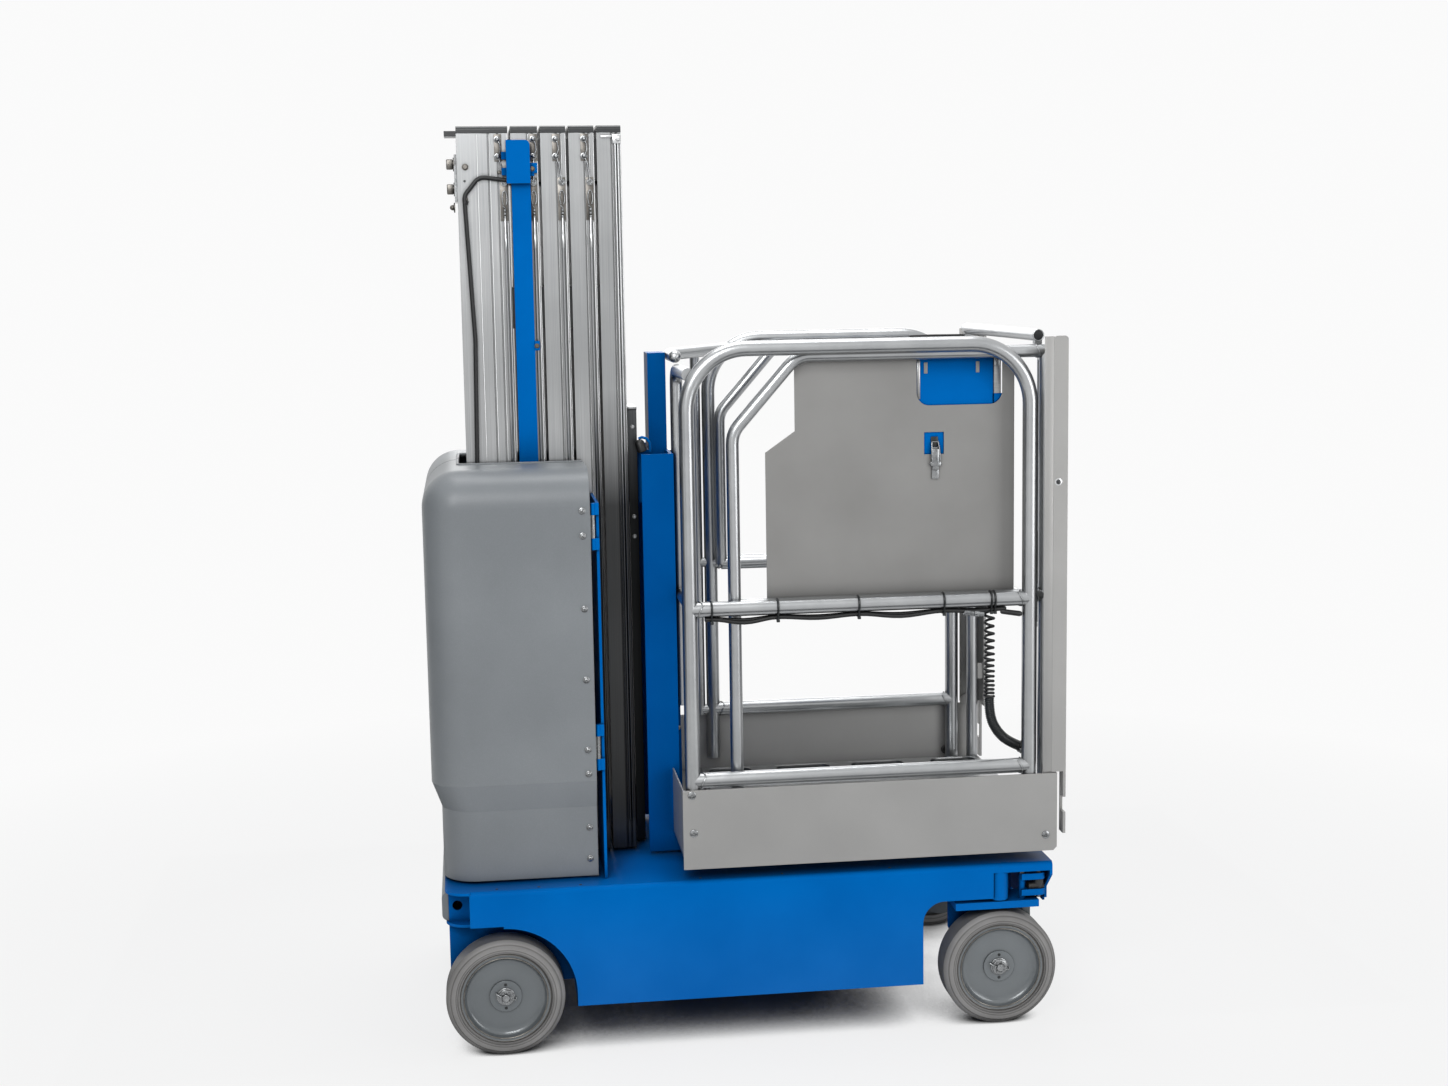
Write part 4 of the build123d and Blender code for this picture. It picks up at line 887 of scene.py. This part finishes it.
makePiece("deckTray", "extension", millAluminium, fillTray)
makePiece("deckWellShade", "extension", darkEnamel, fillWellShade)
makePiece("farGrommet", "platform", blackJacket, fillGrommet)

# two leads under the near middle rail, which sag a little between their ties
leads = {"y": (-356.9, -347.5), "shares": (1.0, 0.55), "z": 935.7, "radius": 4.5, "from": -100.0, "to": 560.0,
         "ties": (-86.0, 57.0, 233.5, 421.0), "endTies": (526.0, 534.0), "sag": (0.0, 9.0, 5.0, 8.0, 3.0),
         "steps": 10, "tieR": 17.9, "connector": (466.0, 931.0), "sleeve": (548.0, 930.0)}


def fillLeads(bm):
    stops = [leads["from"]] + list(leads["ties"]) + [leads["to"]]
    for y, share in zip(leads["y"], leads["shares"]):
        points = []
        for sag, a, b in zip(leads["sag"], stops, stops[1:]):
            for t in (n / leads["steps"] for n in range(leads["steps"])):
                points.append((a + (b - a) * t, y, leads["z"] - sag * share * sin(pi * t) ** 2))
        points.append((leads["to"], y, leads["z"]))
        addBar(bm, points, leads["radius"], 12)


def fillTies(bm):
    y, z = -rails["outerY"], rails["midZ"]
    under = ((-12.5, -14), (-11.5, -24), (-6, -27.4), (6, -27.4), (11.5, -24), (12.5, -14))
    for x in leads["ties"] + leads["endTies"]:
        turns = [radians(-38 + 256 * k / 24) for k in range(25)]
        points = [(x, y + leads["tieR"] * cos(a), z + leads["tieR"] * sin(a)) for a in turns]
        points += [(x, y + dy, z + dz) for dy, dz in under]
        addBar(bm, points + points[:1], 2.3, 8)
        addBox(bm, x - 3.6, x + 3.6, y - 15, y - 9, z - 31, z - 25, 1.0)


def fillConnector(bm):
    x, z = leads["connector"]
    addTurned(bm, (x, leads["y"][0], z), (1, 0, -0.12),
              [(0, 5.2), (2, 6.8), (14, 6.8), (15, 5.8), (22, 5.8), (23, 7.4), (34, 7.4), (35, 6.2),
               (44, 6.2), (45, 5.0)], 20)


def fillEndSleeve(bm):
    x, z = leads["sleeve"]
    addTurned(bm, (x, leads["y"][0], z), (1, 0, -0.16), [(0, 3.4), (3, 5.6), (44, 6.0), (48, 4.0)], 18)


leadPair = makePiece("railLeads", "platform", blackJacket, fillLeads)
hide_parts("rail_cables")
makePiece("cableTies", "platform", blackNylon, fillTies)
makePiece("leadConnector", "platform", zincSteel, fillConnector)
makePiece("leadEndSleeve", "platform", blackJacket, fillEndSleeve)
print("stage: platform")


# curly lead and conduit, the free cords
coil = {"x": 530.0, "y": -330.2, "top": 928.0, "foot": 736.0, "turns": 15, "radius": 9.7, "wire": 6.2,
        "steps": 16}


def makeCurve(name, points, bevel):
    data = bpy.data.curves.new(name, "CURVE")
    data.dimensions = "3D"
    data.resolution_u = 6
    data.bevel_depth = bevel * mm
    data.bevel_resolution = 3
    data.use_fill_caps = True
    spline = data.splines.new("NURBS")
    spline.points.add(len(points) - 1)
    for point, place in zip(spline.points, points):
        point.co = (place[0] * mm, place[1] * mm, place[2] * mm, 1.0)
    spline.order_u = 3
    spline.use_endpoint_u = True
    return addObject(name, data)


# the turns lie open at the top and close up towards the conduit
coilPoints = []
steps = coil["turns"] * coil["steps"]
for k in range(steps + 1):
    t = k / steps
    fall = 1.45 * t - 0.45 * t * t
    angle = 2 * pi * coil["turns"] * t
    reach = coil["radius"] * (1.0 + 0.05 * sin(5.3 * angle / coil["turns"]))
    coilPoints.append((coil["x"] + reach * cos(angle), coil["y"] + reach * sin(angle),
                       coil["top"] - (coil["top"] - coil["foot"]) * fall))
curlyLead = makeCurve("curlyLead", coilPoints, coil["wire"] / 2)
curlyLead.data.materials.append(blackJacket)
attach(curlyLead, "platform")
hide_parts("coil_lead")

# corrugated conduit along the same route as its CAD tube
conduit = {"route": ((530.0, -330.2, 735.0), (530.0, -330.2, 696.5), (545.3, -330.2, 659.5),
                     (573.6, -329.0, 631.3), (606.9, -325.0, 617.5)), "crest": 11.3, "root": 9.6,
           "pitch": 4.2, "clips": ((604.0, -325.6, 618.6), (601.5, -326.0, 619.6))}
guide = makeCurve("conduitGuide", conduit["route"], 0.0)
guideMesh = bpy.data.meshes.new_from_object(guide)
line = [v.co.copy() / mm for v in guideMesh.vertices]
bpy.data.objects.remove(guide)


# even points along a line, so the rings keep one pitch
def spread(line, gap):
    out = [line[0]]
    left = gap
    for a, b in zip(line, line[1:]):
        span = (b - a).length
        while span >= left and span > 0:
            a = a + (b - a) * (left / span)
            out.append(a)
            span -= left
            left = gap
        left -= span
    return out


ringPoints = spread(line, conduit["pitch"] / 4)


def fillConduit(bm):
    radii = [conduit["crest"] if k % 4 in (0, 1) else conduit["root"] for k in range(len(ringPoints))]
    addBar(bm, ringPoints, radii, 20, Vector((0, 1, 0)))


conduitPiece = makePiece("corrugatedConduit", "platform", blackNylon, fillConduit)
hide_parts("conduit")


def fillConduitClip(bm):
    for at in conduit["clips"]:
        addRing(bm, at, (0.92, 0.06, -0.38), 12.6, 1.3, 26)
    addBox(bm, 598, 606, -338, -335, 606, 618, 0.8)


makePiece("conduitClip", "platform", zincSteel, fillConduitClip)


# side panel: toggle latch, slots and channel in the hand opening, the box's edge behind it
latch = {"x": 416.0, "faceY": -300.9, "topZ": 1300.0, "slot": (407.5, 423.0, -300.4, -298.7, 1289, 1310)}
handOpening = {"y": (-298.4, -296.4), "x": (546.5, 563.5), "z": (1401, 1480), "slotX": (392.5, 507.5),
               "slotZ": (1447, 1471), "wingX": (545, 549, 566), "wingZ": (1379, 1401, 1486)}


# a flush black plate in the latch's slot: painted shade of the opening
def fillLatchSlotShade(bm):
    addBox(bm, *latch["slot"], 0.2)


def fillLatch(bm):
    x, y, z = latch["x"], latch["faceY"], latch["topZ"]
    addBox(bm, x - 9, x + 9, y - 2, y + 1.6, z - 32, z - 12, 0.8)
    for bends in (((-7, 1), (-8, 5), (-8, 7), (-6, 6)), ((7, 1), (9, 5), (10, 7), (8, 6))):
        addBar(bm, [(x + dx, y - dy, z - dz) for (dx, dy), dz in zip(bends, (0, 18, 38, 50))], 1.6, 10)
    addBar(bm, [(x - 8, y - 2, z - 1), (x + 8, y - 2, z - 1)], 1.6, 10)
    addBox(bm, x - 7, x + 8, y - 7, y - 4.6, z - 62, z - 16, 1.0)
    addBox(bm, x - 11, x + 12, y - 7.5, y - 2, z - 54, z - 44, 1.2)
    addBox(bm, x - 8, x + 8, y - 4, y, z - 82, z - 52, 1.2)
    addTurned(bm, (x - 12.5, y - 4.5, z - 49), (1, 0, 0), [(0, 2.4), (26, 2.4)], 14)


def fillSlots(bm):
    for x in handOpening["slotX"]:
        addBox(bm, x, x + 8, -299.4, -298.7, *handOpening["slotZ"], 0.3)


def fillChannel(bm):
    rear, front = handOpening["x"]
    face, back = handOpening["y"]
    addBox(bm, rear, front, face, back, *handOpening["z"], 0.4)
    addBox(bm, rear, rear + 2, face, -272, *handOpening["z"], 0.4)
    addBox(bm, front - 2, front, face, -272, *handOpening["z"], 0.4)
    addBox(bm, 548, 554, face - 2, face, 1462, 1482, 0.4)
    addBox(bm, 377.5, 384, -299.6, -298.6, 1392, 1484, 0.2)


def fillBoxWing(bm):
    rear, middle, front = handOpening["wingX"]
    low, shelf, top = handOpening["wingZ"]
    addBox(bm, rear, front, -298.0, -295.0, low, shelf, 0.4)
    addBox(bm, rear, middle, -298.0, -240.0, low, top, 0.4)


makePiece("boxWing", "extension", bluePowderCoat, fillBoxWing, 0.2)
makePiece("latchSlotShade", "extension", blackNylon, fillLatchSlotShade)
makePiece("toggleLatch", "extension", zincSteel, fillLatch, 0.2)
makePiece("boxSlots", "extension", silverPowderCoat, fillSlots)
makePiece("handChannel", "extension", millAluminium, fillChannel, 0.2)

# entry: plugged tube ends, post bolts, gas springs beside the posts, flanges that widen the posts
entry = {"tube": (643.0, 312.2, 1525.0), "spring": (645.0, 297.0, 977.0), "bolt": (671.0, 373.4, 1211.0)}
postFlange = {"x": (640.0, 661.0), "y": (370.4, 373.2), "z": (571.0, 1524.0)}


def fillPlugEnds(bm, side):
    x, y, z = entry["tube"]
    addTurned(bm, (x, side * y, z), (0, side, 0), [(-0.4, 11.4), (0.3, 11.4), (0.5, 8.2), (0.6, 4.0)], 28)


def fillTubeRims(bm, side):
    x, y, z = entry["tube"]
    addRing(bm, (x, side * (y + 0.1), z), (0, 1, 0), 11.9, 1.3, 40)


def fillSpring(bm, side):
    x, y, z = entry["spring"]
    addTurned(bm, (x, side * y, z), (0, 0, 1),
              [(0, 1.4), (2, 3.4), (118, 3.4), (119, 2.0), (309, 2.0), (311, 3.0), (313, 3.0)], 16)


def fillPostBolts(bm, side):
    x, y, z = entry["bolt"]
    addTurned(bm, (x, side * y, z), (0, side, 0), [(-0.4, 8.2), (0.4, 8.2), (0.7, 7.2)], 22)


def fillPostBoltHeads(bm, side):
    x, y, z = entry["bolt"]
    addTurned(bm, (x, side * (y + 0.6), z), (0, side, 0), [(-0.4, 5.6), (0.6, 5.6), (0.9, 4.8)], 6)


def fillPostFlanges(bm, side):
    rear, front = postFlange["x"]
    addBox(bm, rear, front, *(side * y for y in postFlange["y"]), *postFlange["z"], 0.5)


# black edge strip on the far inner top rail near the entry
edgeStrip = {"path": ((500, 1507.4), (515, 1508.2), (560, 1508.6), (640, 1508.0), (652, 1507.2)),
             "radius": 3.0}


def fillEdgeStrip(bm):
    addBar(bm, [(x, rails["innerY"], z) for x, z in edgeStrip["path"]], edgeStrip["radius"], 10)


# fills both sides of one piece
def bothSides(bm, fill):
    for side in (-1, 1):
        fill(bm, side)


for name, slotName, material, fill in (
        ("tubePlugs", "black_plastic", blackNylon, fillPlugEnds),
        ("tubeRims", "bare_aluminium", drawnAluminium, fillTubeRims),
        ("gasSprings", "black_plastic", blackNylon, fillSpring),
        ("postBolts", "bright_steel", brightSteelAndHighlight, fillPostBolts),
        ("postBoltHeads", "dark_steel", darkEnamel, fillPostBoltHeads),
        ("postFlanges", "grey_sheet", brightPowderCoat, fillPostFlanges)):
    makePiece(name, "extension", material, bothSides, details=(fill,))
makePiece("edgeStrip", "extension", blackJacket, fillEdgeStrip)
print("stage: panel and entry")


# camera as the photograph was taken, its angles in radians
view = {"place": (-0.5839, -4.4842, 1.6645), "yaw": 0.1271, "pitch": 0.1348, "roll": -0.0164, "lens": 49.07}
cy, sy = cos(view["yaw"]), sin(view["yaw"])
cp, sp = cos(view["pitch"]), sin(view["pitch"])
cr, sr = cos(view["roll"]), sin(view["roll"])
ahead = Vector((sy * cp, cy * cp, -sp))
level = Vector((cy, -sy, 0))
upward = level.cross(ahead)
right = level * cr + upward * sr
top = upward * cr - level * sr
cameraData = bpy.data.cameras.new("photoCamera")
cameraData.lens = view["lens"]
cameraData.sensor_width = 36
cameraData.sensor_fit = "HORIZONTAL"
camera = addObject("photoCamera", cameraData)
rows = [(right[k], top[k], -ahead[k], view["place"][k]) for k in range(3)]
camera.matrix_world = Matrix(rows + [(0, 0, 0, 1)])
bpy.context.scene.camera = camera


# rays that the camera sees straight, in a mirror or through glass
def seenRays(tree):
    rays = addNode(tree, "LightPath")
    seen = addNode(tree, "Math", {"operation": "MAXIMUM"},
                   links={0: rays.outputs["Is Camera Ray"], 1: rays.outputs["Is Glossy Ray"]})
    return addNode(tree, "Math", {"operation": "MAXIMUM"},
                   links={0: seen, 1: rays.outputs["Is Transmission Ray"]}).outputs[0]


# a flat card for the stage
def addCard(name, corners, material):
    mesh = bpy.data.meshes.new(name)
    mesh.from_pydata(corners, [], [(0, 1, 2, 3)])
    mesh.materials.append(material)
    card = addObject(name, mesh)
    return card


# floor of matt white vinyl: contact shade close to the wheels, and white like the world farther out
studio = {"white": 0.96, "shadeReach": 0.3, "shadeShare": 0.86, "fade": (1.6, 3.2), "worldLight": 0.34}
floorLook = bpy.data.materials.new("matteWhiteVinyl")
floorLook.use_nodes = True
tree = floorLook.node_tree
tree.nodes.clear()
vinyl = addNode(tree, "BsdfPrincipled", values={"Base Color": toLinear("#F0F0F0"), "Roughness": 0.7})
glow = addNode(tree, "Emission", values={"Color": (1, 1, 1, 1), "Strength": studio["white"]})
near = addNode(tree, "AmbientOcclusion", {"samples": 16}, {"Distance": studio["shadeReach"]})
reach = addNode(tree, "MapRange", values={"From Min": 0.18, "From Max": 0.5, "To Max": 0.93},
                links={"Value": near.outputs["AO"]})
veil = addNode(tree, "Emission", values={"Color": (1, 1, 1, 1)}, links={"Strength": reach})
spot = addNode(tree, "TexCoord").outputs["Object"]
far = addNode(tree, "VectorMath", {"operation": "LENGTH"}, links={0: spot})
fade = addNode(tree, "MapRange", values={"From Min": studio["fade"][0], "From Max": studio["fade"][1]},
               links={"Value": far.outputs["Value"]})
close = addNode(tree, "MixShader", values={0: studio["shadeShare"]}, links={1: vinyl, 2: veil})
pale = addNode(tree, "MixShader", links={0: fade, 1: close, 2: glow})
both = addNode(tree, "MixShader", links={0: seenRays(tree), 1: vinyl, 2: pale})
addNode(tree, "OutputMaterial", links={"Surface": both})
addCard("studioFloor", [(-30, -30, 0), (30, -30, 0), (30, 30, 0), (-30, 30, 0)], floorLook)

# world: white where it is seen, a soft cool light elsewhere
world = bpy.data.worlds.new("studio")
bpy.context.scene.world = world
world.use_nodes = True
tree = world.node_tree
tree.nodes.clear()
soft = addNode(tree, "Background", values={"Color": toLinear("#E9EEF4"), "Strength": studio["worldLight"]})
white = addNode(tree, "Background", values={"Color": (1, 1, 1, 1), "Strength": studio["white"]})
both = addNode(tree, "MixShader", links={0: seenRays(tree), 1: soft, 2: white})
addNode(tree, "OutputWorld", links={"Surface": both})

# dark grey felt outside the view: tubes and extrusions mirror it as dark streaks
feltLook = bpy.data.materials.new("darkGreyFelt")
feltLook.use_nodes = True
felt = feltLook.node_tree.nodes["Principled BSDF"]
felt.inputs["Base Color"].default_value = toLinear("#4C4E50")
felt.inputs["Roughness"].default_value = 0.95
# place, width, height and turn of each flag; only the first two also dim the soft light
flags = [((-3.4, 0.6, 1.3), 4.4, 3.4, -78), ((3.6, 0.4, 1.3), 4.4, 3.4, 80), ((2.4, -4.9, 1.5), 0.7, 3.2, 26),
         ((-3.3, -4.2, 1.5), 0.6, 3.2, -38)]
felts = []
for index, (place, wide, tall, turn) in enumerate(flags):
    x, z = wide / 2, tall / 2
    flag = addCard(f"flag_{index}", [(-x, 0, -z), (x, 0, -z), (x, 0, z), (-x, 0, z)], feltLook)
    flag.location = place
    flag.rotation_euler = (0, 0, radians(turn))
    felts.append(flag)
# felt on the floor dims the lower half of each level tube; the bare strip lights the wheels
for index, (front, back) in enumerate(((-2.0, -1.0), (-0.4, 1.3))):
    felts.append(addCard(f"floorFelt_{index}", [(-1.5, front, 0.004), (1.5, front, 0.004),
                                                (1.5, back, 0.004), (-1.5, back, 0.004)], feltLook))
for index, card in enumerate(felts):
    card.visible_camera = False
    card.visible_shadow = False
    card.visible_diffuse = index < 2

# soft boxes: place, target, size and watts
softBoxes = {"keySoftbox": ((-1.4, -4.0, 3.4), (0, 0, 0.9), (2.0, 2.0), 100),
             "fillSoftbox": ((3.2, -3.4, 1.6), (0, 0, 0.7), (1.8, 2.4), 45),
             "topSoftbox": ((0, 0.4, 4.4), (0, 0, 0), (2.4, 2.0), 85),
             "backSoftbox": ((0.5, 4.2, 2.6), (0, 0, 1.0), (3.0, 2.0), 40)}
for name, (place, target, size, power) in softBoxes.items():
    data = bpy.data.lights.new(name, "AREA")
    data.shape = "RECTANGLE"
    data.size, data.size_y = size
    data.energy = power
    light = addObject(name, data)
    light.location = place
    light.rotation_euler = (Vector(target) - Vector(place)).to_track_quat("-Z", "Y").to_euler()

bpy.context.scene.view_settings.view_transform = "Standard"
print("stage: camera and light")
